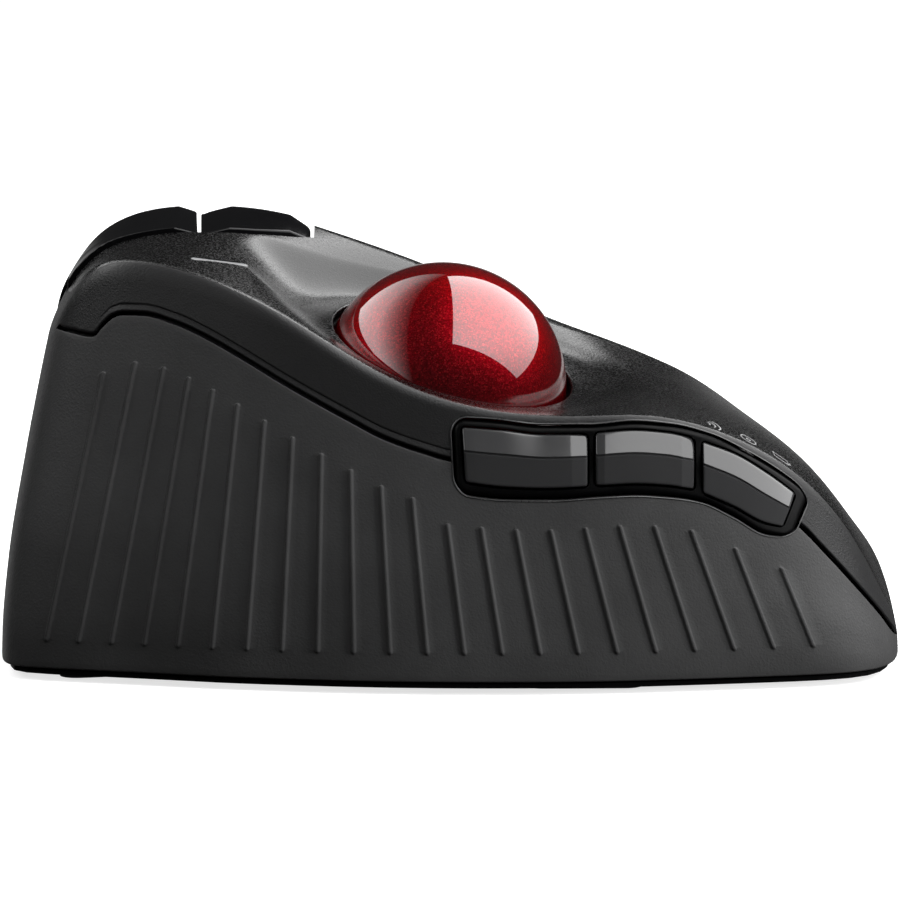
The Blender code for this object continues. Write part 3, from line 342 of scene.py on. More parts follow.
class Build:
    """Collects grids of points into one mesh."""

    def __init__(self):
        self.v, self.f, self.m, self.n = [], [], [], 0

    def points(self, p):
        p = np.asarray(p, float)
        ids = np.arange(self.n, self.n + p.reshape(-1, 3).shape[0]).reshape(p.shape[:-1])
        self.v.append(p.reshape(-1, 3))
        self.n += ids.size
        return ids

    def quads(self, ids, wrap_i=False, wrap_j=False, mat=0):
        if wrap_i:
            ids = np.concatenate([ids, ids[:1]], 0)
        if wrap_j:
            ids = np.concatenate([ids, ids[:, :1]], 1)
            if not np.isscalar(mat) and len(mat) < ids.shape[1] - 1:
                mat = list(mat) + [mat[-1]]
        q = np.stack([ids[:-1, :-1], ids[1:, :-1], ids[1:, 1:], ids[:-1, 1:]], -1)
        self.f.append(q.reshape(-1, 4))
        m = np.broadcast_to(np.asarray(mat), q.shape[:2]) if not np.isscalar(mat) else np.full(q.shape[:2], mat)
        self.m.append(m.reshape(-1))

    def polygon(self, ids, mat=0):
        self.f.append([list(map(int, ids))])
        self.m.append([mat])

    def mesh(self, name, looks, angle=40):
        mesh = bpy.data.meshes.new(name)
        v = np.concatenate(self.v) * MM
        faces = [f for block in self.f for f in (block.tolist() if isinstance(block, np.ndarray) else block)]
        mesh.from_pydata(v.tolist(), [], faces)
        mesh.polygons.foreach_set("material_index", np.concatenate([np.asarray(m) for m in self.m]).astype(np.int32))
        bm = bmesh.new()
        bm.from_mesh(mesh)
        bmesh.ops.recalc_face_normals(bm, faces=bm.faces)
        if bm.calc_volume(signed=True) < 0:
            bmesh.ops.reverse_faces(bm, faces=bm.faces)
        bm.to_mesh(mesh)
        bm.free()
        for look in looks:
            mesh.materials.append(look)
        finish_mesh(mesh, angle)
        return mesh


def finish_mesh(mesh, angle):
    mesh.shade_smooth()
    mesh.set_sharp_from_angle(angle=math.radians(angle))


def obj_of(name, mesh, body=None, nodes=()):
    obj = bpy.data.objects.new(name, mesh)
    bpy.context.scene.collection.objects.link(obj)
    if body:
        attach(obj, body)
    if nodes:
        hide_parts(*nodes)
    return obj


def cut_mesh(obj, tools, op="DIFFERENCE", angle=40):
    """Cuts obj with closed meshes and keeps the result as its mesh."""
    for k, tool in enumerate(tools):
        t = bpy.data.objects.new("tool", tool)
        bpy.context.scene.collection.objects.link(t)
        mod = obj.modifiers.new("cut", "BOOLEAN")
        mod.operation, mod.object, mod.solver = op, t, "MANIFOLD"
        bpy.context.view_layer.update()
        dg = bpy.context.evaluated_depsgraph_get()
        new = bpy.data.meshes.new_from_object(obj.evaluated_get(dg), depsgraph=dg)
        before = len(obj.data.polygons)
        obj.modifiers.remove(mod)
        old, obj.data = obj.data, new
        new.name = old.name
        bpy.data.objects.remove(t)
        print("CUT", obj.name, k, before, "->", len(new.polygons))
        finish_mesh(new, angle)


def tube_loop(build, profile, wrap_i, mat=0):
    """A moulding whose section, a closed loop of points, is swept along the columns."""
    ids = build.points(profile)
    build.quads(ids, wrap_i=wrap_i, wrap_j=True, mat=mat)
    return ids


def quarter(r, n=5):
    """(sideways, deep) steps of a rounded edge of radius r, from the side face to the top."""
    t = np.linspace(0, math.pi / 2, n)
    return r - r * np.cos(t), r - r * np.sin(t)


def prism_mesh(loop_a, loop_b):
    """A closed mesh between two matching loops of points."""
    bm = bmesh.new()
    lo = [bm.verts.new(Vector(p) * MM) for p in loop_a]
    hi = [bm.verts.new(Vector(p) * MM) for p in loop_b]
    n = len(lo)
    bm.faces.new(lo)
    bm.faces.new(hi[::-1])
    for i in range(n):
        bm.faces.new((lo[i], hi[i], hi[(i + 1) % n], lo[(i + 1) % n]))
    bmesh.ops.recalc_face_normals(bm, faces=bm.faces)
    mesh = bpy.data.meshes.new("tool")
    bm.to_mesh(mesh)
    bm.free()
    return mesh


def block(f, width, height, r, depth, a_in, b_in, n=5):
    """A raised plate with rounded edges. f(a, b, deep) gives the point at (a, b) mm over the plate, deep under its face."""
    side, _ = quarter(r, n)
    a = np.concatenate([side, a_in, width - side[::-1]])
    b = np.concatenate([side, b_in, height - side[::-1]])
    A, B = np.meshgrid(a, b, indexing="ij")
    sa, sb = np.sign(A - width / 2), np.sign(B - height / 2)
    ea, eb = np.maximum(0, np.abs(A - width / 2) - (width / 2 - r)), np.maximum(0, np.abs(B - height / 2) - (height / 2 - r))
    e = np.hypot(ea, eb)
    k = np.where(e > r, r / np.maximum(e, 1e-9), 1.0)
    A, B = A - sa * ea * (1 - k), B - sb * eb * (1 - k)
    e = np.minimum(e, r)
    drop = r - np.sqrt(np.maximum(r * r - e * e, 0))
    bd = Build()
    out = bd.points(f(A, B, drop))
    deep = bd.points(f(A, B, np.full_like(A, depth)))
    bd.quads(out)
    bd.quads(deep)
    rim = lambda ids: np.concatenate([ids[:, 0], ids[-1, 1:], ids[-2::-1, -1], ids[0, -2:0:-1]])
    o, i = rim(out), rim(deep)
    bd.quads(np.stack([o, i], 1), wrap_i=True)
    return bd


def rounded_rect(w, h, r, d=0.0, nl=60, ns=14, nc=8):
    """A closed loop of (a, b) round a w x h rectangle with corner radius r, d inside it, centred, counter-clockwise."""
    w2, h2, r = w / 2 - d, h / 2 - d, max(r - d, 0.02)
    pts = []
    for cx, cy, t0 in ((w2 - r, -h2 + r, -90), (w2 - r, h2 - r, 0), (-w2 + r, h2 - r, 90), (-w2 + r, -h2 + r, 180)):
        for t in np.linspace(math.radians(t0), math.radians(t0 + 90), nc):
            pts.append((cx + r * math.cos(t), cy + r * math.sin(t)))
        nxt = {-90: (w2, h2 - r), 0: (-w2 + r, h2), 90: (-w2, -h2 + r), 180: (w2 - r, -h2)}[t0]
        n = ns if t0 in (-90, 90) else nl
        p0 = pts[-1]
        for q in np.linspace(0, 1, n + 1)[1:-1]:
            pts.append((p0[0] + (nxt[0] - p0[0]) * q, p0[1] + (nxt[1] - p0[1]) * q))
    return np.array(pts)


# ---------------------------------------------------------------- skirt with its fanned ribs
def frame_bottom_of(x):
    p = sorted(FRAME_BOTTOM)
    return smooth([q[0] for q in p], [q[1] for q in p], x)


def skirt(looks):
    k = np.arange(22.0)
    foot_x = -54.8 + 4.44 * k + 0.0238 * k * k
    lean = smooth([0, 2, 5, 8, 12, 17, 19, 21], [0.215, 0.19, 0.104, 0.018, -0.133, -0.291, -0.365, -0.414], k)
    foot, head = 5.6, np.full(22, 25.0)
    for _ in range(30):
        hx = foot_x + lean * (head - foot)
        head = 0.5 * head + 0.5 * np.where(k <= 11, parting_of_x(hx) - 6.5, frame_bottom_of(hx) - 4.5)
    across = np.array([-0.5, -0.32, -0.22, -0.11, 0, 0.11, 0.22, 0.32, 0.5])
    fx, ln, hd, off = [], [], [], []
    for i in range(22):
        for o in across:
            fx.append(foot_x[i] + o), ln.append(lean[i]), hd.append(head[i]), off.append(abs(o))
        if i < 21:
            for q in (0.2, 0.4, 0.6, 0.8):
                fx.append(foot_x[i] + 0.5 + (foot_x[i + 1] - foot_x[i] - 1.0) * q)
                ln.append(lean[i] + (lean[i + 1] - lean[i]) * q)
                hd.append(head[i] + (head[i + 1] - head[i]) * q)
                off.append(9.0)
    fx, ln, hd, off = map(np.array, (fx, ln, hd, off))
    side, deep = quarter(0.22, 5)
    # the top edge over each ribbed column
    top = parting_of_x(fx + ln * 30)
    for _ in range(30):
        top = 0.5 * top + 0.5 * parting_of_x(fx + ln * (top - foot))
    low = np.linspace(SKIRT_Z + 0.22, foot - 0.7, 5)[None, :] + 0 * fx[:, None]
    near_foot = foot + np.array([-0.45, -0.32, -0.22, -0.11, 0, 0.15])[None, :] + 0 * fx[:, None]
    mid = foot + 0.8 + (hd - foot - 1.6)[:, None] * np.linspace(0, 1, 24)[None, :]
    near_head = hd[:, None] + np.array([-0.15, 0, 0.11, 0.22, 0.32, 0.45])[None, :]
    up = hd[:, None] + 0.9 + (top - 0.22 - hd - 0.9)[:, None] * np.linspace(0, 1, 9)[None, :]
    z = np.concatenate([low, near_foot, mid, near_head, up], 1)
    x = fx[:, None] + ln[:, None] * (z - foot)
    s_rib = s_of_x(x, z)
    beyond = np.maximum(np.maximum(foot - z, z - hd[:, None]), 0)
    dist = np.hypot(np.minimum(off[:, None], 5), beyond)
    rise = 0.3 * np.sqrt(np.maximum(1 - (dist / 0.33) ** 2, 0)) * (off[:, None] < 5)
    # the plain columns round the rest of the body
    s_a, s_b = 1.6, 18.1
    plain = np.concatenate([np.linspace(s_b, N_ST - 1.38, 190), [NOSE + 0.09, NOSE + 0.15], np.linspace(35.0, N_ST + s_a, 40)])
    plain = np.unique(np.round(plain, 4))
    first, last = s_rib[0], s_rib[-1]
    n = z.shape[1]
    pz_top = skirt_top(plain) - 0.22
    fr = np.linspace(0, 1, n)
    pz = (SKIRT_Z + 0.22) + (pz_top - SKIRT_Z - 0.22)[:, None] * fr[None, :]
    fr_a = (z[0] - z[0, 0]) / (z[0, -1] - z[0, 0])
    fr_b = (z[-1] - z[-1, 0]) / (z[-1, -1] - z[-1, 0])
    wa, wb = step(N_ST - 0.5, N_ST + s_a, plain)[:, None], 1 - step(s_b, s_b + 1.2, plain)[:, None]
    shape = fr[None, :] * (1 - wa - wb) + fr_a[None, :] * wa + fr_b[None, :] * wb
    pz = (SKIRT_Z + 0.22) + (pz_top - SKIRT_Z - 0.22)[:, None] * shape
    ps = np.repeat(plain[:, None], n, 1)
    # a few columns that lead from the plain ones into the leaning ones
    def lead(sa, za, sb, zb, q):
        s_q, z_q = sa + (sb - sa) * q, za + (zb - za) * q
        true = float(skirt_top(s_q[-1:])[0]) - 0.22
        up = (z_q - z_q[0]) / (z_q[-1] - z_q[0])
        return s_q, z_q + (true - z_q[-1]) * up**1.5

    steps = np.linspace(0, 1, 18)[1:-1]
    cols_s, cols_z, cols_d = [], [], []
    for q in steps:
        a, b = lead(np.full(n, s_a), pz[-1], first, z[0], q)
        cols_s.append(a), cols_z.append(b), cols_d.append(0 * a)
    for i in range(len(fx)):
        cols_s.append(s_rib[i]), cols_z.append(z[i]), cols_d.append(rise[i])
    for q in steps:
        a, b = lead(last, z[-1], np.full(n, s_b), pz[0], q)
        cols_s.append(a), cols_z.append(b), cols_d.append(0 * a)
    for i in range(len(plain)):
        cols_s.append(ps[i]), cols_z.append(pz[i]), cols_d.append(np.zeros(n))
    S, Z, R = map(np.array, (cols_s, cols_z, cols_d))
    lam = wall_lam(S, Z)
    face = skin(S, lam, -R)
    s0, s1 = S[:, :1], S[:, -1:]
    bottom = skin(np.repeat(s0, 4, 1), wall_lam(np.repeat(s0, 4, 1), SKIRT_Z + side[None, :4]), deep[None, :4])
    up_z = Z[:, -1:] + 0.22 - side[None, ::-1][:, 1:]
    edge = skin(np.repeat(s1, 4, 1), wall_lam(np.repeat(s1, 4, 1), up_z), deep[None, ::-1][:, 1:])
    roof = skin(s1[:, 0], 1.0, SHELL)[..., 2]
    in_top = np.minimum(Z[:, -1] + 0.22, roof - 1.3)
    zin = in_top[:, None] + (SKIRT_Z - in_top)[:, None] * np.linspace(0, 1, 9)[None, :]
    sin = np.array([np.interp(zin[i], Z[i], S[i]) for i in range(len(S))])
    inner = skin(sin, wall_lam(sin, zin, SHELL), SHELL)
    bd = Build()
    tube_loop(bd, np.concatenate([bottom, face, edge, inner], 1), True)
    return bd.mesh("skirt_moulding", looks, 50)


# ---------------------------------------------------------------- top cover
def cover_columns():
    side = np.concatenate([np.arange(0, TAIL - 0.13, 0.07), [TAIL - 0.12, TAIL - 0.04], np.arange(TAIL + 0.03, NOSE - 0.06, 0.08),
                           [NOSE - 0.02, NOSE + 0.16], np.arange(NOSE + 0.22, N_ST - 0.03, 0.07)])
    return side


def cover_low(s, d):
    top = skirt_top(s, GAP + 0.12)
    if d:
        top = np.minimum(top, skin(s, 1.0, d)[..., 2] - 0.05)
    edge = wall_lam(s, top, d)
    if d:
        front = np.where(s > NOSE, 1.0, 1 - step(2.0, 3.2, s))
        edge = edge + (1.8 - edge) * front
    return np.where((s < TAIL - 0.08) | (s > NOSE + 0.12), edge, SEAM)


def top_cover(looks):
    s = cover_columns()
    lw, lt, ur, vr = lengths(s)
    per_lam, per_top = lw * (1 - ur), lt * (1 - vr)
    low = cover_low(s, 0.0)
    tall = np.maximum((1 - low) * per_lam, 0.3)
    r = np.minimum(0.2, tall * 0.3)
    t, _ = quarter(1.0, 5)
    side, deep = r[:, None] * t[None, :], r[:, None] * (1 - np.sqrt(1 - (1 - t[None, :]) ** 2))
    x = skin(s, low)[..., 0]
    strip = np.where(s <= REAR, step(-48.6, -45.4, x) * (1 - step(42, 50, x)), 0.0)[:, None] * (tall[:, None] > 3)
    marks = np.array([0.35, 0.55, 0.75, 0.95, 1.0, 1.08, 1.2])
    scale = np.minimum(1.0, tall / 4.0)[:, None]
    m_rows = marks[None, :] * scale
    rest = m_rows[:, -1:] + (tall[:, None] - m_rows[:, -1:]) * np.linspace(0, 1, 24)[None, 1:]
    mm = np.concatenate([side, m_rows, rest], 1)
    base_d = np.concatenate([deep, np.zeros((len(s), mm.shape[1] - 5))], 1)
    ramp = np.interp(mm, [0, 0.97, 1.03, 1.1], [-0.04, 0.12, 0.0, 0.0])
    wall_d = base_d + strip * ramp
    wall_l = low[:, None] + mm / per_lam[:, None]
    wall_l[:, -1] = 1.0
    roll_l = np.repeat(1 + np.linspace(0, 1, 11)[None, 1:], len(s), 0)
    rr = 0.55
    tr, td = quarter(rr, 7)
    fine = 1 - (1 - np.linspace(0, 1, 58)) ** 1.25
    top_l = 2 + fine[None, 1:] * (1 - (rr / per_top)[:, None])
    rim_l = 3 - (tr[None, ::-1][:, 1:] / per_top[:, None])
    rim_d = np.repeat(td[None, ::-1][:, 1:], len(s), 0)
    lam = np.concatenate([wall_l, roll_l, top_l, rim_l], 1)
    d = np.concatenate([wall_d, 0 * roll_l, 0 * top_l, rim_d], 1)
    outer = skin(np.repeat(s[:, None], lam.shape[1], 1), lam, d)
    low_in = cover_low(s, SHELL)
    marks_in = np.repeat(np.array([[3.0, 2.75, 2.4, 2.1, 1.85]]), len(s), 0)
    more = 1.85 + (low_in[:, None] - 1.85) * np.array([[0.3, 0.65, 1.0]])
    lam_in = np.concatenate([marks_in, more], 1)
    inner = skin(np.repeat(s[:, None], lam_in.shape[1], 1), lam_in, SHELL)
    n_band = wall_l.shape[1] + 7
    total = outer.shape[1] + inner.shape[1]
    mat = [0 if j < n_band else 1 for j in range(total)]
    bd = Build()
    tube_loop(bd, np.concatenate([outer, inner], 1), True, mat=mat)
    return bd.mesh("upper_moulding", looks, 50)


CREST_EDGE = [(-53.0, -3.2), (-44.0, -3.2), (-36.0, -3.0), (-28.4, -0.6), (-22.3, 3.4), (-19.0, 6.0)]


def crest_near(x, extra=0.0):
    return smooth([p[0] for p in CREST_EDGE], [p[1] for p in CREST_EDGE], x) + extra


def crest_opening():
    xs = np.linspace(-53.2, -19.6, 60)
    pts = [(-53.2, -3.52), *[(x, float(crest_near(x)) - 0.05 - 0.22 * min(max((-46.0 - x) / 3, 0), 1)) for x in xs[1:]], (-18.9, 6.0), (-20.1, 45.0), (-70.0, 45.0),
           (-70.0, 23.0), (-53.3, 3.1)]
    return prism_mesh([(x, y, 20) for x, y in pts], [(x, y, 75) for x, y in pts])


# ---------------------------------------------------------------- panels of the thumb wall
def panel_xz(low, high, u, v):
    lx, lz = np.array(sorted(low)).T
    hx, hz = np.array(sorted(high)).T
    xl, xh = lx[0] + (lx[-1] - lx[0]) * u, hx[0] + (hx[-1] - hx[0]) * u
    zl, zh = smooth(lx, lz, xl), smooth(hx, hz, xh)
    # straight on past the ends
    kl, kh = (lz[-1] - lz[-2]) / (lx[-1] - lx[-2]), (hz[-1] - hz[-2]) / (hx[-1] - hx[-2])
    zl = zl + np.maximum(xl - lx[-1], 0) * kl
    zh = zh + np.maximum(xh - hx[-1], 0) * kh
    kl, kh = (lz[1] - lz[0]) / (lx[1] - lx[0]), (hz[1] - hz[0]) / (hx[1] - hx[0])
    zl = zl + np.minimum(xl - lx[0], 0) * kl
    zh = zh + np.minimum(xh - hx[0], 0) * kh
    return xl + (xh - xl) * v, zl + (zh - zl) * v


def panel_size(low, high):
    lx, lz = np.array(sorted(low)).T
    hx, hz = np.array(sorted(high)).T
    w = (np.hypot(np.diff(lx), np.diff(lz)).sum() + np.hypot(np.diff(hx), np.diff(hz)).sum()) / 2
    xs, zs = panel_xz(low, high, np.linspace(0, 1, 9), np.zeros(9))
    xt, zt = panel_xz(low, high, np.linspace(0, 1, 9), np.ones(9))
    return w, float(np.hypot(xt - xs, zt - zs).mean())


def panel_loop(low, high, r, d=0.0, lift=0.0, **kw):
    """A rounded outline round a panel as (x, y, z) points, d inside it, lift off the wall."""
    w, h = panel_size(low, high)
    ab = rounded_rect(w, h, r, d, **kw)
    x, z = panel_xz(low, high, 0.5 + ab[:, 0] / w, 0.5 + ab[:, 1] / h)
    y = thumb(np.clip(x, -50, 60), z)
    return np.stack([x, y - lift, z], -1)


def panel_prism(low, high, r, grow, out, back):
    p = panel_loop(low, high, r + grow, -grow)
    a, b = p.copy(), p.copy()
    a[:, 1] -= out
    b[:, 1] += back
    return prism_mesh(a, b)


BEZEL_R = 1.6


def bezel(looks):
    bd = Build()
    side, deep = quarter(0.55, 6)
    levels = [(0.0, -2.0), (0.0, -0.9)] + [(a, 0.25 - b) for a, b in zip(side, deep)] + [(q, 0.25) for q in (0.75, 1.0, 1.4, 2.0, 2.8, 3.5)]
    w, h = panel_size(FRAME_BOTTOM, FRAME_TOP)
    levels = [lv for lv in levels if lv[0] < h / 2 - 0.3] + [(h / 2 - 0.25, 0.25)]
    loops = [panel_loop(FRAME_BOTTOM, FRAME_TOP, BEZEL_R, a, b) for a, b in levels]
    ids = bd.points(np.stack(loops, 0))
    bd.quads(ids, wrap_j=True)
    n = ids.shape[1]
    for row in (ids[0], ids[-1]):
        for k in range(n // 2):
            a, b, c, e = row[(14 + k) % n], row[(14 + k + 1) % n], row[(14 - k - 1) % n], row[(14 - k) % n]
            if k == 0:
                bd.polygon([a, b, c])
            elif k == n // 2 - 1:
                bd.polygon([a, b, e])
            else:
                bd.polygon([a, b, c, e])
    return bd.mesh("thumb_frame", looks, 50)


def side_button(name, high, low, looks, ends):
    w, h = panel_size(low, high)
    table_u = np.linspace(-0.02, 1.02, 90)
    tu, tv = np.meshgrid(table_u, np.linspace(-0.05, 1.05, 24), indexing="ij")
    tx, tz = panel_xz(low, high, tu, tv)
    ty = thumb(np.clip(tx, -50, 60), tz)

    def wall_y(u, v):
        fi, fj = (u + 0.02) / 1.04 * 89, (v + 0.05) / 1.10 * 23
        i, j = np.clip(fi.astype(int), 0, 88), np.clip(fj.astype(int), 0, 22)
        a, b = fi - i, fj - j
        return (ty[i, j] * (1 - a) * (1 - b) + ty[i + 1, j] * a * (1 - b) + ty[i, j + 1] * (1 - a) * b + ty[i + 1, j + 1] * a * b)

    def f(a, b, deep):
        u, v = a / w, b / h
        x, z = panel_xz(low, high, u, v)
        crest = 0.61
        lift = np.where(v < crest, 0.55 + (1.35 - 0.55) * v / crest, 1.35 - 1.05 * (v - crest) / (1 - crest))
        lift = lift - 0.16 * np.interp(b - h * crest, [-0.42, -0.34, -0.14, -0.06], [0.0, 1.0, 1.0, 0.0])
        lift = lift - ends[0] * np.clip((0.09 - u) / 0.09, 0, 1) - ends[1] * np.clip((u - 0.875) / 0.125, 0, 1)
        return np.stack([x, wall_y(u, v) - lift + deep, z], -1)

    b_in = np.concatenate([np.linspace(0.5, h * 0.61 - 0.5, 9), h * 0.61 + np.array([-0.42, -0.34, -0.14, -0.06, 0.0, 0.04]), np.linspace(h * 0.61 + 0.12, h - 0.5, 8)])
    a_in = np.unique(np.round(np.concatenate([np.linspace(0.5, w - 0.5, 44), [w * 0.09 - 0.03, w * 0.09 + 0.03, w * 0.875 - 0.03, w * 0.875 + 0.03]]), 3))
    bd = block(f, w, h, 0.3, 2.7, a_in, b_in)
    return bd.mesh(name, looks, 30)


# ---------------------------------------------------------------- crest buttons
def crest_button(name, x0, x1, lift_x, lift, front, looks, slant=0.0):
    y0, y1 = float(crest_near(x0, 0.4)), float(crest_near(x1, 0.4))
    width = x1 - x0
    cols = np.linspace(0, 1, 70)
    lam = np.concatenate([np.linspace(CREST_LOW + 0.003, 1.0, 50), np.linspace(1.0, 2.0, 60)[1:], np.linspace(2.0, 2.92, 160)[1:]])

    def left(y):
        if front:
            return np.where(y < 3.6, x0, x0 - (y - 3.6) * 10 / 13)
        return x0 - 1.4 * (y - y0) / (34 - y0)

    def right(y):
        return x1 - 0.04 * (y - y1)

    C, L = np.meshgrid(cols, lam, indexing="ij")
    a, b = np.full(C.shape, 25.6), np.full(C.shape, 37.6)
    for _ in range(24):
        m = (a + b) / 2
        p = skin(m, L)
        more = p[..., 0] > left(p[..., 1]) * (1 - C) + right(p[..., 1]) * C
        a, b = np.where(more, m, a), np.where(more, b, m)
    S = (a + b) / 2
    P = skin(S, L)
    over = P[..., 1] - crest_near(P[..., 0], 0.4)
    s_t, l_t = [], []
    ts = np.linspace(0, 1, 120)
    span = []
    for i in range(len(cols)):
        j = int(np.argmax(over[i] < 0)) or len(lam) - 1
        q = over[i, j - 1] / (over[i, j - 1] - over[i, j])
        s_e, l_e = S[i, j - 1] + (S[i, j] - S[i, j - 1]) * q, lam[j - 1] + (lam[j] - lam[j - 1]) * q
        p_e = P[i, j - 1] + (P[i, j] - P[i, j - 1]) * q
        pts = np.concatenate([P[i, :j], p_e[None]])
        ss, ll = np.append(S[i, :j], s_e), np.append(lam[:j], l_e)
        arc = np.concatenate([[0], np.cumsum(np.linalg.norm(np.diff(pts, axis=0), axis=1))])
        at = arc[-1] * (1 - ts)                   # from the near edge down to the lower edge
        s_t.append(np.interp(at, arc, ss)), l_t.append(np.interp(at, arc, ll))
        span.append(arc[-1])
    s_t, l_t, height = np.array(s_t), np.array(l_t), float(np.mean(span))

    def table(tab, u, v):
        fi, fj = np.clip(u, 0, 1) * (len(cols) - 1), np.clip(v, 0, 1) * (len(ts) - 1)
        i, j = np.clip(fi.astype(int), 0, len(cols) - 2), np.clip(fj.astype(int), 0, len(ts) - 2)
        p, q = fi - i, fj - j
        return tab[i, j] * (1 - p) * (1 - q) + tab[i + 1, j] * p * (1 - q) + tab[i, j + 1] * (1 - p) * q + tab[i + 1, j + 1] * p * q

    def f(a, b, deep):
        u, v = a / width, b / height
        s, l = table(s_t, u, v), table(l_t, u, v)
        g0, g1 = skin(s, l), skin(s, l, -1.0)
        up = g1 - g0
        rise = np.interp(g0[..., 0], lift_x, lift)
        unit = up / np.linalg.norm(up, axis=-1, keepdims=True)
        w, near = step(0.25, 0.6, v)[..., None], step(0.93, 0.99, v)[..., None]
        down = unit * w * (1 - near) + np.array([0, 0, 1.0]) * (1 - w) + np.array([0, -0.35, 1.0]) * near
        down = down / np.linalg.norm(down, axis=-1, keepdims=True)
        out = g0 + up * rise[..., None] - down * deep[..., None]
        foot = skin(table(s_t, u, 1 + 0 * u), table(l_t, u, 1 + 0 * u))[..., 2]
        out[..., 0] += slant * step(0.12, 0.0, u) * np.clip((out[..., 2] - foot) / 2.0, 0, 1)
        return out

    bend = [width * (x - x0) / width for x in lift_x if x0 + 0.8 < x < x1 - 0.8]
    a_in = np.unique(np.round(np.concatenate([np.linspace(0.4, width - 0.4, 60)] + [[q - 0.04, q, q + 0.04] for q in bend]), 3))
    b_in = np.linspace(0.4, height - 0.4, 90)
    bd = block(f, width, height, 0.2, 3.1, a_in, b_in, n=5)
    return bd.mesh(name, looks, 30)


# ---------------------------------------------------------------- finger side
def side_cover(looks):
    s = np.concatenate([np.arange(TAIL, NOSE - 0.06, 0.06), [NOSE - 0.02]])
    low = wall_lam(s, skirt_top(s, GAP))
    high = SEAM - (GAP + 0.1) / np.linalg.norm(skin(s, 0.0) - skin(s, 1.0), axis=-1)
    lw, lt, ur, vr = lengths(s)
    per = (lw * (1 - ur))[:, None]
    t, dd = quarter(0.2, 5)
    rows = np.linspace(0, 1, 70)[None, 1:-1]
    a, b = low[:, None] + 0.2 / per, high[:, None] - 0.2 / per
    lam = np.concatenate([low[:, None] + t[None, :] / per, a + (b - a) * rows, high[:, None] - t[None, ::-1] / per], 1)
    d = np.concatenate([np.repeat(dd[None], len(s), 0), 0 * (a * rows), np.repeat(dd[None, ::-1], len(s), 0)], 1)
    outer = skin(np.repeat(s[:, None], lam.shape[1], 1), lam, d)
    low_in = wall_lam(s, skirt_top(s, GAP), SHELL)
    lam_in = low_in[:, None] + (high - low_in)[:, None] * np.linspace(0, 1, lam.shape[1])[None, :]
    inner = skin(np.repeat(s[:, None], lam.shape[1], 1), lam_in, SHELL)
    bd = Build()
    o, i = bd.points(outer), bd.points(inner)
    bd.quads(o), bd.quads(i)
    bd.quads(np.stack([o[:, 0], i[:, 0]], 1)), bd.quads(np.stack([o[:, -1], i[:, -1]], 1))
    bd.quads(np.stack([o[0], i[0]], 1)), bd.quads(np.stack([o[-1], i[-1]], 1))
    return bd.mesh("finger_side_moulding", looks, 50)


def bay(s0, l0, l1):
    s = np.linspace(s0, 34.95, 60)[:, None]
    lam = np.linspace(l0, l1, 24)[None, :]
    S, L = np.broadcast_arrays(s, lam)
    out, deep = skin(S, L, -2.0), skin(S, L, 3.5)
    bd = Build()
    o, i = bd.points(out), bd.points(deep)
    bd.quads(o), bd.quads(i)
    bd.quads(np.stack([o[:, 0], i[:, 0]], 1)), bd.quads(np.stack([o[:, -1], i[:, -1]], 1))
    bd.quads(np.stack([o[0], i[0]], 1)), bd.quads(np.stack([o[-1], i[-1]], 1))
    return bd.mesh("tool", [], 50)


def click_plate(name, s0, s1, low, high, looks):
    """low and high give lam at station s."""
    mid = np.linspace(s0, s1, 60)
    ridge = skin(mid, (low(mid) + high(mid)) / 2)
    width = np.linalg.norm(np.diff(ridge, axis=0), axis=1).sum()
    height = np.linalg.norm(skin(mid, low(mid)) - skin(mid, high(mid)), axis=-1).mean()
    arc = np.concatenate([[0], np.cumsum(np.linalg.norm(np.diff(ridge, axis=0), axis=1))])

    def f(a, b, deep):
        s = np.interp(a, arc, mid)
        l0, l1 = low(s), high(s)
        return skin(s, l0 + (l1 - l0) * b / height, deep)

    bd = block(f, width, height, 0.35, 2.0, np.linspace(0.6, width - 0.6, 80), np.linspace(0.6, height - 0.6, 40))
    return bd.mesh(name, looks, 40)


_at = skin(np.array([31.0, 31.02, 31.0]), np.array([0.47, 0.47, 0.471]))
along = _at[0] - _at[1]
along /= np.linalg.norm(along)
upslope = _at[2] - _at[0]
upslope -= along * (upslope @ along)
upslope /= np.linalg.norm(upslope)
outward = np.cross(upslope, along)
outward *= np.sign(outward[1])
WHEEL_C = _at[0] + outward * (3.0 - 11.0)


def wheel_frame(a, u, o):
    return WHEEL_C + along * a[..., None] + upslope * u[..., None] + outward * o[..., None]


def tire(looks):
    t = np.linspace(0, 2 * math.pi, 361)[:-1]
    groove = np.clip(np.cos(30 * t) * 2.2, -1, 1)
    rows = [(8.75, -2.65, 0), (10.3, -2.65, 0), (10.62, -2.5, 0.2), (10.75, -2.2, 0.6), (10.85, -1.8, 1), (11.0, -0.9, 1), (11.0, 0, 1), (11.0, 0.9, 1),
            (10.85, 1.8, 1), (10.75, 2.2, 0.6), (10.62, 2.5, 0.2), (10.3, 2.65, 0), (8.75, 2.65, 0)]
    r = np.array([[q[0] - 0.22 * q[2] * (1 - g) for q in rows] for g in groove])
    h = np.array([[q[1] for q in rows]] * len(t))
    pts = wheel_frame(r * np.cos(t)[:, None], h, r * np.sin(t)[:, None])
    bd = Build()
    tube_loop(bd, pts, True)
    return bd.mesh("wheel_tread", looks, 40)


def slot_tool():
    xs = np.array([along, upslope, outward])
    c = WHEEL_C + outward * 8.0
    ab = rounded_rect(20.6, 6.7, 1.2, 0.0, nl=8, ns=4, nc=8)
    lo = [c + along * a + upslope * b - outward * 6 for a, b in ab]
    hi = [c + along * a + upslope * b + outward * 6 for a, b in ab]
    return prism_mesh(lo, hi)


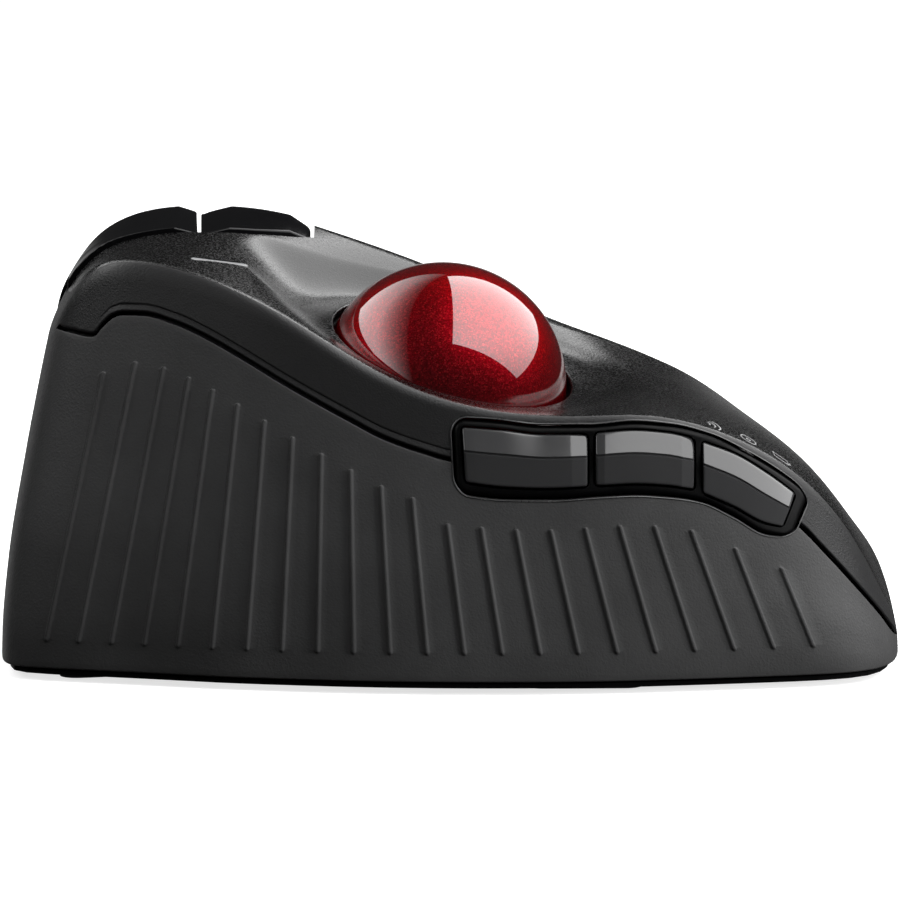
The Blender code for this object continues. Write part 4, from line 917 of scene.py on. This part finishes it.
def oblong(cx, cy, length, width, turn=0.0, n=20):
    r, h = width / 2, (length - width) / 2
    pts = [(h + r * math.cos(a), r * math.sin(a)) for a in np.linspace(-math.pi / 2, math.pi / 2, n)]
    pts += [(-h + r * math.cos(a), r * math.sin(a)) for a in np.linspace(math.pi / 2, 3 * math.pi / 2, n)]
    c, s = math.cos(math.radians(turn)), math.sin(math.radians(turn))
    return np.array([(cx + x * c - y * s, cy + x * s + y * c) for x, y in pts])


def inset(p, d):
    t = np.roll(p, -1, 0) - np.roll(p, 1, 0)
    t = t / np.linalg.norm(t, axis=1, keepdims=True)
    return p + d * np.stack([-t[:, 1], t[:, 0]], 1)


def pad(name, outline, z0, z1, r, looks):
    """A thin pad with rounded lower and upper edges."""
    bd = Build()
    t, dd = quarter(r, 4)
    rows = [(a, z0 + b) for a, b in zip(t[::-1], dd[::-1])] + [(a, z1 - b) for a, b in zip(t, dd)]
    ids = bd.points([np.column_stack([inset(outline, a), np.full(len(outline), z)]) for a, z in rows])
    bd.quads(ids, wrap_j=True)
    bd.polygon(ids[0][::-1])
    bd.polygon(ids[-1])
    return bd.mesh(name, looks, 40)


# ---------------------------------------------------------------- materials
def fresh(name, base, rough, metallic=0.0, coat=0.0, coat_rough=0.03, spec=0.5):
    m = bpy.data.materials.new(name)
    m.use_nodes = True
    nt = m.node_tree
    p = nt.nodes["Principled BSDF"]
    p.inputs["Base Color"].default_value = (*base, 1)
    p.inputs["Roughness"].default_value = rough
    p.inputs["Metallic"].default_value = metallic
    p.inputs["Coat Weight"].default_value = coat
    p.inputs["Coat Roughness"].default_value = coat_rough
    p.inputs["Specular IOR Level"].default_value = spec
    at = nt.nodes.new("ShaderNodeTexCoord")
    return m, nt, p, at.outputs["Object"]


def noise(nt, at, scale, detail=2.0, rough=0.5):
    n = nt.nodes.new("ShaderNodeTexNoise")
    n.inputs["Scale"].default_value = scale
    n.inputs["Detail"].default_value = detail
    n.inputs["Roughness"].default_value = rough
    nt.links.new(at, n.inputs["Vector"])
    return n.outputs["Fac"]


def voronoi(nt, at, scale, out="Distance"):
    n = nt.nodes.new("ShaderNodeTexVoronoi")
    n.inputs["Scale"].default_value = scale
    nt.links.new(at, n.inputs["Vector"])
    return n.outputs[out]


def span(nt, value, lo, hi, a, b):
    n = nt.nodes.new("ShaderNodeMapRange")
    n.inputs["From Min"].default_value, n.inputs["From Max"].default_value = lo, hi
    n.inputs["To Min"].default_value, n.inputs["To Max"].default_value = a, b
    nt.links.new(value, n.inputs["Value"])
    return n.outputs["Result"]


def ramp(nt, value, stops):
    n = nt.nodes.new("ShaderNodeValToRGB")
    e = n.color_ramp.elements
    while len(e) < len(stops):
        e.new(0.5)
    for k, (pos, col) in enumerate(stops):
        e[k].position, e[k].color = pos, (*col, 1)
    nt.links.new(value, n.inputs["Fac"])
    return n.outputs["Color"]


def add_up(nt, a, b, ka=1.0, kb=1.0):
    n = nt.nodes.new("ShaderNodeMath")
    n.operation = "MULTIPLY"
    n.inputs[1].default_value = ka
    nt.links.new(a, n.inputs[0])
    m = nt.nodes.new("ShaderNodeMath")
    m.operation = "MULTIPLY_ADD"
    m.inputs[1].default_value = kb
    nt.links.new(b, m.inputs[0])
    nt.links.new(n.outputs[0], m.inputs[2])
    return m.outputs[0]


def bump(nt, height, distance, strength=1.0, socket="Normal", p=None):
    n = nt.nodes.new("ShaderNodeBump")
    n.inputs["Distance"].default_value = distance
    n.inputs["Strength"].default_value = strength
    nt.links.new(height, n.inputs["Height"])
    nt.links.new(n.outputs["Normal"], p.inputs[socket])


def moulded(name, base, rough, grain, depth, strength=1.0, vary=0.12, rough_vary=0.05, spec=0.5):
    """Moulded plastic: spark-eroded grain, faint colour and roughness variation."""
    m, nt, p, at = fresh(name, base, rough, spec=spec)
    h = add_up(nt, noise(nt, at, grain, 2.0, 0.6), voronoi(nt, at, grain * 0.7), 1.0, 0.5)
    bump(nt, h, depth, strength, p=p)
    c = noise(nt, at, 90.0, 4.0, 0.6)
    lo, hi = [b * (1 - vary) for b in base], [b * (1 + vary) for b in base]
    nt.links.new(ramp(nt, c, [(0.3, lo), (0.7, hi)]), p.inputs["Base Color"])
    nt.links.new(span(nt, noise(nt, at, grain * 0.5, 1.0), 0.3, 0.7, rough - rough_vary, rough + rough_vary), p.inputs["Roughness"])
    return m


def gloss(name, base, rough=0.06, spec=0.5):
    m, nt, p, at = fresh(name, base, rough, spec=spec)
    nt.links.new(span(nt, noise(nt, at, 160.0, 5.0, 0.65), 0.35, 0.75, rough * 0.8, rough * 1.5), p.inputs["Roughness"])
    nt.links.new(ramp(nt, noise(nt, at, 60.0, 3.0), [(0.3, [b * 0.9 for b in base]), (0.7, [b * 1.1 for b in base])]), p.inputs["Base Color"])
    bump(nt, noise(nt, at, 45.0, 2.0), 0.00001, 0.15, p=p)
    return m


def sparkle(name):
    """Grained upper plastic: near black, its coarse spark grain picked out in fine lighter points of colour, which are
    painted glints off the grain.
    """
    m, nt, p, at = fresh(name, (0.001, 0.001, 0.001), 0.24, spec=0.38)
    fine = noise(nt, at, 3700.0, 2.0, 0.5)
    # painted glints: the fine noise lifts the base colour in lighter points; the same noise gives the real grain's
    # roughness and bump
    nt.links.new(ramp(nt, fine, [(0.46, (0.0003, 0.0003, 0.0003)), (0.58, (0.001, 0.001, 0.0011)), (0.74, (0.012, 0.012, 0.0122))]), p.inputs["Base Color"])
    nt.links.new(span(nt, fine, 0.35, 0.65, 0.12, 0.34), p.inputs["Roughness"])
    bump(nt, fine, 0.00003, 1.0, p=p)
    return m


def ball_resin():
    m, nt, p, at = fresh("red_resin_look", (0.3, 0.0, 0.006), 0.4, metallic=0.9, coat=1.0, coat_rough=0.015, spec=0.0)
    p.inputs["Coat IOR"].default_value = 1.6
    p.inputs["Specular Tint"].default_value = (0.35, 0.0, 0.004, 1)
    flakes = voronoi(nt, at, 6000.0, "Color")
    grey = nt.nodes.new("ShaderNodeSeparateColor")
    nt.links.new(flakes, grey.inputs[0])
    red = ramp(nt, grey.outputs[0], [(0.0, (0.07, 0.0, 0.001)), (0.5, (0.13, 0.0, 0.003)), (0.85, (0.19, 0.002, 0.006)), (1.0, (0.30, 0.008, 0.01))])
    nt.links.new(red, p.inputs["Base Color"])
    h = add_up(nt, grey.outputs[1], noise(nt, at, 5200.0, 1.0), 0.5, 0.5)
    bump(nt, h, 0.00003, 0.6, p=p)
    return m


def brushed(name, base, rough):
    m, nt, p, at = fresh(name, base, rough, metallic=1.0)
    bump(nt, noise(nt, at, 900.0, 3.0), 0.00001, 0.4, p=p)
    nt.links.new(span(nt, noise(nt, at, 500.0, 3.0), 0.3, 0.7, rough - 0.06, rough + 0.08), p.inputs["Roughness"])
    return m


def board(name, base):
    m, nt, p, at = fresh(name, base, 0.42)
    wave = nt.nodes.new("ShaderNodeTexWave")
    wave.inputs["Scale"].default_value = 260.0
    wave.inputs["Distortion"].default_value = 6.0
    nt.links.new(at, wave.inputs["Vector"])
    nt.links.new(ramp(nt, wave.outputs["Fac"], [(0.45, base), (0.55, [b * 1.7 + 0.01 for b in base])]), p.inputs["Base Color"])
    return m


SKIRT = moulded("skirt_look", (0.038, 0.038, 0.0383), 0.44, 3600.0, 0.000035, 0.9, spec=0.14)
BAND = moulded("band_look", (0.015, 0.015, 0.0153), 0.38, 4600.0, 0.00004, 1.0, spec=0.16)
FACE = sparkle("upper_face_look")
# painted reflection: this black gloss gets a lighter grey base than the crest buttons' same plastic, standing in for a
# front reflection the lamps don't give
GLOSS = gloss("gloss_black_look", (0.031, 0.031, 0.0318), 0.13, 0.41)
CREST_LOOK = gloss("crest_black_look", (0.002, 0.002, 0.0023), 0.13, 0.12)
BEZEL = gloss("frame_black_look", (0.0012, 0.0012, 0.0013), 0.4, 0.08)
LIP = gloss("frame_lip_look", (0.02, 0.02, 0.0205), 0.3)
RED = ball_resin()
RUBBER = moulded("rubber_look", (0.010, 0.010, 0.010), 0.78, 2500.0, 0.00003, 0.8)
FEET = moulded("slip_pad_look", (0.035, 0.035, 0.036), 0.45, 1500.0, 0.00001, 0.5)
INNER = moulded("inner_plastic_look", (0.022, 0.022, 0.023), 0.6, 2200.0, 0.00002, 0.6)
BASE = moulded("base_look", (0.004, 0.004, 0.0042), 0.6, 3000.0, 0.00003, 0.8, spec=0.1)
SOCKET = moulded("socket_look", (0.006, 0.006, 0.006), 0.5, 2200.0, 0.00002, 0.5)
STEEL = brushed("steel_look", (0.55, 0.55, 0.56), 0.32)
CERAMIC = gloss("ceramic_look", (0.75, 0.74, 0.7), 0.12)
BOARD = board("circuit_look", (0.01, 0.07, 0.035))
CELL = gloss("battery_look", (0.05, 0.055, 0.06), 0.25)
CLEAR = gloss("light_pipe_look", (0.17, 0.172, 0.175), 0.3)
LENS = moulded("lens_look", (0.006, 0.006, 0.0062), 0.36, 4300.0, 0.00005, 1.0)
MARK = gloss("mark_look", (0.26, 0.26, 0.263), 0.35)

# ---------------------------------------------------------------- the shown pieces
obj_of("skirt_piece", skirt([SKIRT]), "housing", ["lower_shell"])
shell = bpy.data.objects["skirt_piece"]
frame_tool = lambda: panel_prism(FRAME_BOTTOM, FRAME_TOP, BEZEL_R, 0.3, 3.0, 2.2)
cut_mesh(shell, [frame_tool()], angle=50)

cover = obj_of("upper_piece", top_cover([BAND, FACE]), "housing", ["top_cover"])


def face_at(x, y, h=0.0):
    """Point on the upper face h above it, and its upward direction."""
    x, y = np.broadcast_arrays(np.asarray(x, float), np.asarray(y, float))
    z, zx, zy = upper_face(x, y, 0.0), upper_face(x + 0.05, y, 0.0), upper_face(x, y + 0.05, 0.0)
    n = np.stack([-(zx - z) / 0.05, -(zy - z) / 0.05, np.ones_like(z)], -1)
    n /= np.linalg.norm(n, axis=-1, keepdims=True)
    return np.stack([x, y, z], -1) + n * h, n


bar_p, bar_n = face_at(-31.5, -13.6)
bar_q, _ = face_at(-27.0, -12.4)
bar_t = bar_q - bar_p
bar_t -= bar_n * (bar_n @ bar_t)
bar_t /= np.linalg.norm(bar_t)
bar_b = np.cross(bar_n, bar_t)
LENSES = [(35.6, -26.3), (40.4, -24.5), (45.0, -22.6)]


def oblong_tool(length, width, low, high):
    ab = oblong(0, 0, length, width, n=10)
    lo = [bar_p + bar_t * a + bar_b * b + bar_n * low for a, b in ab]
    hi = [bar_p + bar_t * a + bar_b * b + bar_n * high for a, b in ab]
    return prism_mesh(lo, hi)


def joined(meshes):
    bm = bmesh.new()
    for m in meshes:
        bm.from_mesh(m)
    out = bpy.data.meshes.new("tools")
    bm.to_mesh(out)
    bm.free()
    return out


lens_tools = []
for x, y in LENSES:
    p, n = face_at(x, y)
    u = np.cross(n, [0, 1, 0])
    u /= np.linalg.norm(u)
    v = np.cross(n, u)
    t = np.linspace(0, 2 * math.pi, 33)[:-1]
    rim = [u * 1.16 * math.cos(a) + v * 1.16 * math.sin(a) for a in t]
    lens_tools.append(prism_mesh([p + r - n * 1.6 for r in rim], [p + r + n * 2.5 for r in rim]))
cut_mesh(cover, [joined([frame_tool(), crest_opening(), oblong_tool(8.2, 1.15, -1.8, 2.0)])], angle=50)

side_piece = obj_of("finger_side_piece", side_cover([FACE]), "housing", ["right_cover"])
cut_mesh(side_piece, [joined([bay(CREST, TONGUE[1], 1.0), bay(PLATES, -0.12, TONGUE[0])]), slot_tool()], angle=50)

obj_of("thumb_frame_piece", bezel([BEZEL]), "housing", ["side_button_bezel"])
frame_piece = bpy.data.objects["thumb_frame_piece"]
holes = [panel_prism(low, high, 0.3, 0.3, 3.0, 3.5) for high, low in (BUTTON_A, BUTTON_B, BUTTON_C)]
cut_mesh(frame_piece, [joined(holes)], angle=50)

for name, node, (high, low), ends in (("thumb_button_1", "side_button_front", BUTTON_A, (0.05, 0.34)),
                                      ("thumb_button_2", "side_button_middle", BUTTON_B, (0.22, 0.62)),
                                      ("thumb_button_3", "side_button_rear", BUTTON_C, (0.02, 0.12))):
    obj_of(name, side_button(name, high, low, [GLOSS], ends), node.replace("button_", ""), [node])

obj_of("crest_button_1", crest_button("crest_button_1", -52.4, -35.0, [-54, -38.0, -35.0], [0.55, 0.55, -0.4], True, [CREST_LOOK]),
       "forward", ["forward_button"])
obj_of("crest_button_2", crest_button("crest_button_2", -34.75, -19.35, [-34.75, -30.6, -22.4, -19.9, -19.3],
                                      [-0.5, 0.5, 0.5, -0.35, -0.9], False, [CREST_LOOK], 0.35), "back", ["back_button"])

flat_lam = lambda v: (lambda s: np.full_like(np.asarray(s, float), v))
obj_of("click_plate_upper", click_plate("click_plate_upper", CREST + 0.1, NOSE - 0.02, flat_lam(TONGUE[1] + 0.0125),
                                        flat_lam(CREST_LOW - 0.012), [SKIRT]), "left_click", ["left_click_button"])
obj_of("click_plate_lower", click_plate("click_plate_lower", PLATES + 0.1, NOSE - 0.02, lambda s: wall_lam(s, skirt_top(s, 0.6)),
                                        flat_lam(TONGUE[0] - 0.0125), [SKIRT]), "right_click", ["right_click_button"])
obj_of("wheel_tread", tire([RUBBER]), "scroll_wheel", ["scroll_wheel_tire"])

# the ball
bm = bmesh.new()
bmesh.ops.create_uvsphere(bm, u_segments=160, v_segments=96, radius=BALL_R * MM)
bmesh.ops.translate(bm, vec=Vector(BALL_C) * MM, verts=bm.verts)
ball_mesh = bpy.data.meshes.new("ball")
bm.to_mesh(ball_mesh)
bm.free()
ball_mesh.materials.append(RED)
ball_mesh.shade_smooth()
obj_of("ball_piece", ball_mesh, "trackball", ["trackball"])

# light bar: a clear strip with round ends, a little below the face
t, dd = quarter(0.12, 4)
bd = Build()
rows = [(0.0, -1.3)] + [(a, -0.13 - b) for a, b in zip(t, dd)]
ids = bd.points([[bar_p + bar_t * a + bar_b * b + bar_n * h for a, b in inset(oblong(0, 0, 8.0, 0.95, n=10), q)] for q, h in rows])
bd.quads(ids, wrap_j=True)
bd.polygon(ids[0][::-1])
bd.polygon(ids[-1])
obj_of("light_strip", bd.mesh("light_strip", [CLEAR]), "housing", ["status_light_bar"])

# feet
for name, spec in (("foot_front_left", (-46.0, -19.5, 15, 5, 16)), ("foot_front_right", (-46.0, 19.5, 15, 5, -24)),
                   ("foot_rear", (55.0, -1.5, 16, 5, 90)), ("foot_left", (18.0, -31.0, 16, 5, 2)), ("foot_right", (24.0, 29.5, 16, 5, -12))):
    obj_of("slip_" + name, pad("slip_" + name, oblong(*spec), 0.0, 0.6, 0.2, [FEET]), "housing", [name])


# generic marks by the indicator lenses: arcs, a ring with a dot, a cell outline
def strokes(name, node, x, y, lines, width=0.17, height=0.05):
    p, n = face_at(x, y)
    u, _ = face_at(x + 1.0, y + 0.38)
    u = u - p
    u -= n * (n @ u)
    u /= np.linalg.norm(u)
    v = np.cross(n, u)
    bd = Build()
    for line in lines:
        q = np.array(line, float) * 1.4
        closed = np.allclose(q[0], q[-1])
        if closed:
            q = q[:-1]
            tan = np.roll(q, -1, 0) - np.roll(q, 1, 0)
        else:
            tan = np.gradient(q, axis=0)
        tan /= np.linalg.norm(tan, axis=1, keepdims=True)
        nor = np.stack([-tan[:, 1], tan[:, 0]], 1) * width / 2
        ring = []
        for side, h in ((1, -0.15), (1, height), (-1, height), (-1, -0.15)):
            e = q + nor * side
            at = p + e[:, :1] * u + e[:, 1:] * v
            on, nn = face_at(at[:, 0], at[:, 1], h)
            ring.append(on)
        ids = bd.points(np.stack(ring, 1))
        bd.quads(ids, wrap_i=closed, wrap_j=True)
        if not closed:
            bd.polygon(ids[0]), bd.polygon(ids[-1][::-1])
    obj_of(name, bd.mesh(name, [MARK]), "housing", [node])


circle = lambda r, a0=0, a1=360, cx=0, cy=0, n=28: [(cx + r * math.cos(math.radians(a)), cy + r * math.sin(math.radians(a))) for a in np.linspace(a0, a1, n)]
strokes("mark_1", "indicator_lens_1", *LENSES[0], [circle(0.5, -50, 50, -0.9), circle(1.05, -48, 48, -0.9), circle(1.6, -46, 46, -0.9)])
strokes("mark_2", "indicator_lens_2", *LENSES[1], [circle(0.85), circle(0.22)])
strokes("mark_3", "indicator_lens_3", *LENSES[2], [[(-1.0, -0.5), (0.8, -0.5), (0.8, 0.5), (-1.0, 0.5), (-1.0, -0.5)], [(1.05, -0.22), (1.05, 0.22)]])

# a fine rolled lip round the thumb frame's opening
lip = np.array(panel_loop(FRAME_BOTTOM, FRAME_TOP, BEZEL_R + 0.42, -0.42))
inner_lip = np.array(panel_loop(FRAME_BOTTOM, FRAME_TOP, BEZEL_R + 0.2, -0.2))
out_way = lip - inner_lip
out_way /= np.linalg.norm(out_way, axis=1, keepdims=True)
face_way = np.array([0, -1.0, 0.0])
bd = Build()
ids = bd.points([[c + w * 0.13 * math.cos(a) + face_way * 0.13 * math.sin(a) for a in np.linspace(0, 2 * math.pi, 9)[:-1]]
                 for c, w in zip(lip, out_way)])
bd.quads(ids, wrap_i=True, wrap_j=True)
obj_of("frame_lip", bd.mesh("frame_lip", [LIP]), "housing")

# ---------------------------------------------------------------- materials of the frame's own nodes
LOOK = {"base_plate": BASE, "battery_door": BASE, "ball_socket": SOCKET, "socket_pedestal": INNER, "sensor_lens": CLEAR,
        "motion_sensor": INNER, "wheel_encoder": INNER, "wheel_switch": INNER, "left_click_switch": INNER, "right_click_switch": INNER,
        "forward_switch": INNER, "back_switch": INNER, "side_switch_front": INNER, "side_switch_middle": INNER,
        "side_switch_rear": INNER, "battery": CELL, "radio_module": STEEL, "usb_receiver": INNER, "power_switch_body": INNER,
        "power_switch": GLOSS, "scroll_wheel_hub": INNER, "wheel_carrier": INNER}
for name, node in NODES.items():
    look = LOOK.get(name)
    if look is None:
        look = (BOARD if name.endswith("_board") else STEEL if name.startswith(("screw_", "battery_contact")) else CERAMIC
                if name.startswith("support_bearing") else LENS if name.startswith("indicator") else INNER)
    node.data.materials.clear()
    node.data.materials.append(look)

# ---------------------------------------------------------------- floor, soft panels, world, camera
floor_mesh = bpy.data.meshes.new("floor")
floor_mesh.from_pydata([(-8, -8, -0.0002), (8, -8, -0.0002), (8, 8, -0.0002), (-8, 8, -0.0002)], [], [(0, 1, 2, 3)])
m, nt, p, at = fresh("floor_look", (0.6, 0.6, 0.6), 0.8, spec=0.1)
nt.links.new(ramp(nt, noise(nt, at, 3.0), [(0.2, (0.59, 0.59, 0.59)), (0.8, (0.61, 0.61, 0.61))]), p.inputs["Base Color"])
far = nt.nodes.new("ShaderNodeVectorMath")
far.operation = "LENGTH"
nt.links.new(at, far.inputs[0])
p.inputs["Emission Color"].default_value = (1, 1, 1, 1)
nt.links.new(span(nt, far.outputs["Value"], 0.04, 0.5, 0.72, 1.0), p.inputs["Emission Strength"])
floor_mesh.materials.append(m)
floor = obj_of("floor", floor_mesh)
floor.visible_diffuse = False
floor.visible_glossy = False


def panel_light(name, corners, strength, fade=None):
    """A soft panel: four corners in metres, its glow fading across it if asked."""
    mesh = bpy.data.meshes.new(name)
    mesh.from_pydata([tuple(c) for c in corners], [], [(0, 1, 2, 3)])
    m = bpy.data.materials.new(name + "_glow")
    m.use_nodes = True
    nt = m.node_tree
    nt.nodes.clear()
    out, em = nt.nodes.new("ShaderNodeOutputMaterial"), nt.nodes.new("ShaderNodeEmission")
    em.inputs["Strength"].default_value = strength
    nt.links.new(em.outputs[0], out.inputs["Surface"])
    if fade:
        at = nt.nodes.new("ShaderNodeTexCoord")
        dot = nt.nodes.new("ShaderNodeVectorMath")
        dot.operation = "DOT_PRODUCT"
        axis, lo, hi, a, b = fade
        dot.inputs[1].default_value = axis
        nt.links.new(at.outputs["Object"], dot.inputs[0])
        r = nt.nodes.new("ShaderNodeMapRange")
        r.interpolation_type = "SMOOTHSTEP"
        r.inputs["From Min"].default_value, r.inputs["From Max"].default_value = lo, hi
        r.inputs["To Min"].default_value, r.inputs["To Max"].default_value = a, b
        nt.links.new(dot.outputs["Value"], r.inputs["Value"])
        nt.links.new(r.outputs["Result"], em.inputs["Strength"])
    mesh.materials.append(m)
    obj = obj_of(name, mesh)
    obj.visible_camera = False
    return obj


C0 = Vector(BALL_C) * MM
right = [C0 + Vector(d) * k for d, k in (((0.036, 0.612, 0.79), 1.0), ((0.146, -0.706, 0.692), 0.647), ((0.949, -0.291, 0.123), 0.742),
                                         ((0.559, 0.739, 0.375), 1.154))]
panel_light("soft_panel_right", right, 5.5, ((0, 0, 1), 0.12, 0.42, 3.6, 5.8))
left = [C0 + Vector(d) * k for d, k in (((0.03, 0.66, 0.75), 1.0), ((-0.57, 0.674, 0.47), 1.1), ((-0.86, -0.25, 0.42), 0.9),
                                        ((-0.45, -0.88, 0.12), 0.75))]
panel_light("soft_panel_left", left, 6.0, ((1, 0, -0.6), -0.98, -0.36, 4.4, 0.0))

# a low raking lamp on the thumb side, to pick out the ribs
rake = bpy.data.lights.new("rake_lamp", "SUN")
rake.energy, rake.angle = 2.6, math.radians(9.0)
rake_obj = bpy.data.objects.new("rake_lamp", rake)
rake_obj.rotation_euler = Vector((0.93, -0.36, 0.16)).to_track_quat("Z", "Y").to_euler()
rake_obj.visible_glossy = False
bpy.context.scene.collection.objects.link(rake_obj)

world = bpy.data.worlds.new("studio")
bpy.context.scene.world = world
world.use_nodes = True
wt = world.node_tree
bg = wt.nodes["Background"]
path = wt.nodes.new("ShaderNodeLightPath")
way = wt.nodes.new("ShaderNodeTexCoord")
xyz = wt.nodes.new("ShaderNodeSeparateXYZ")
wt.links.new(way.outputs["Generated"], xyz.inputs[0])


def world_range(value, lo, hi, a, b):
    n = wt.nodes.new("ShaderNodeMapRange")
    n.interpolation_type = "SMOOTHSTEP"
    n.inputs["From Min"].default_value, n.inputs["From Max"].default_value = lo, hi
    n.inputs["To Min"].default_value, n.inputs["To Max"].default_value = a, b
    wt.links.new(value, n.inputs["Value"])
    return n.outputs["Result"]


def world_math(op, a, b):
    n = wt.nodes.new("ShaderNodeMath")
    n.operation = op
    wt.links.new(a, n.inputs[0])
    if isinstance(b, float):
        n.inputs[1].default_value = b
    else:
        wt.links.new(b, n.inputs[1])
    return n.outputs[0]


sweep = world_math("MULTIPLY", world_range(xyz.outputs["Z"], 0.06, 0.22, 1.0, 0.0), world_range(xyz.outputs["Y"], 0.6, 0.93, 0.0, 0.35))
sweep = world_math("MULTIPLY", sweep, world_range(xyz.outputs["X"], 0.08, 0.26, 1.0, 0.0))
glow = world_math("ADD", sweep, 0.035)
wt.links.new(world_math("MAXIMUM", glow, path.outputs["Is Camera Ray"]), bg.inputs["Strength"])
bg.inputs["Color"].default_value = (1, 1, 1, 1)

elev = math.radians(6.0)
aim = Vector((0, -0.010, 0.02985))
cam_data = bpy.data.cameras.new("camera")
cam_data.lens, cam_data.sensor_width = 261.4, 36.0
cam_data.clip_start, cam_data.clip_end = 0.01, 50
cam = bpy.data.objects.new("camera", cam_data)
bpy.context.scene.collection.objects.link(cam)
back = Vector((0, -math.cos(elev), math.sin(elev)))
cam.location = aim + back * 0.9
cam.rotation_mode = "QUATERNION"
cam.rotation_quaternion = (-back).to_track_quat("-Z", "Y")
bpy.context.scene.camera = cam
bpy.context.scene.view_settings.view_transform = "Standard"
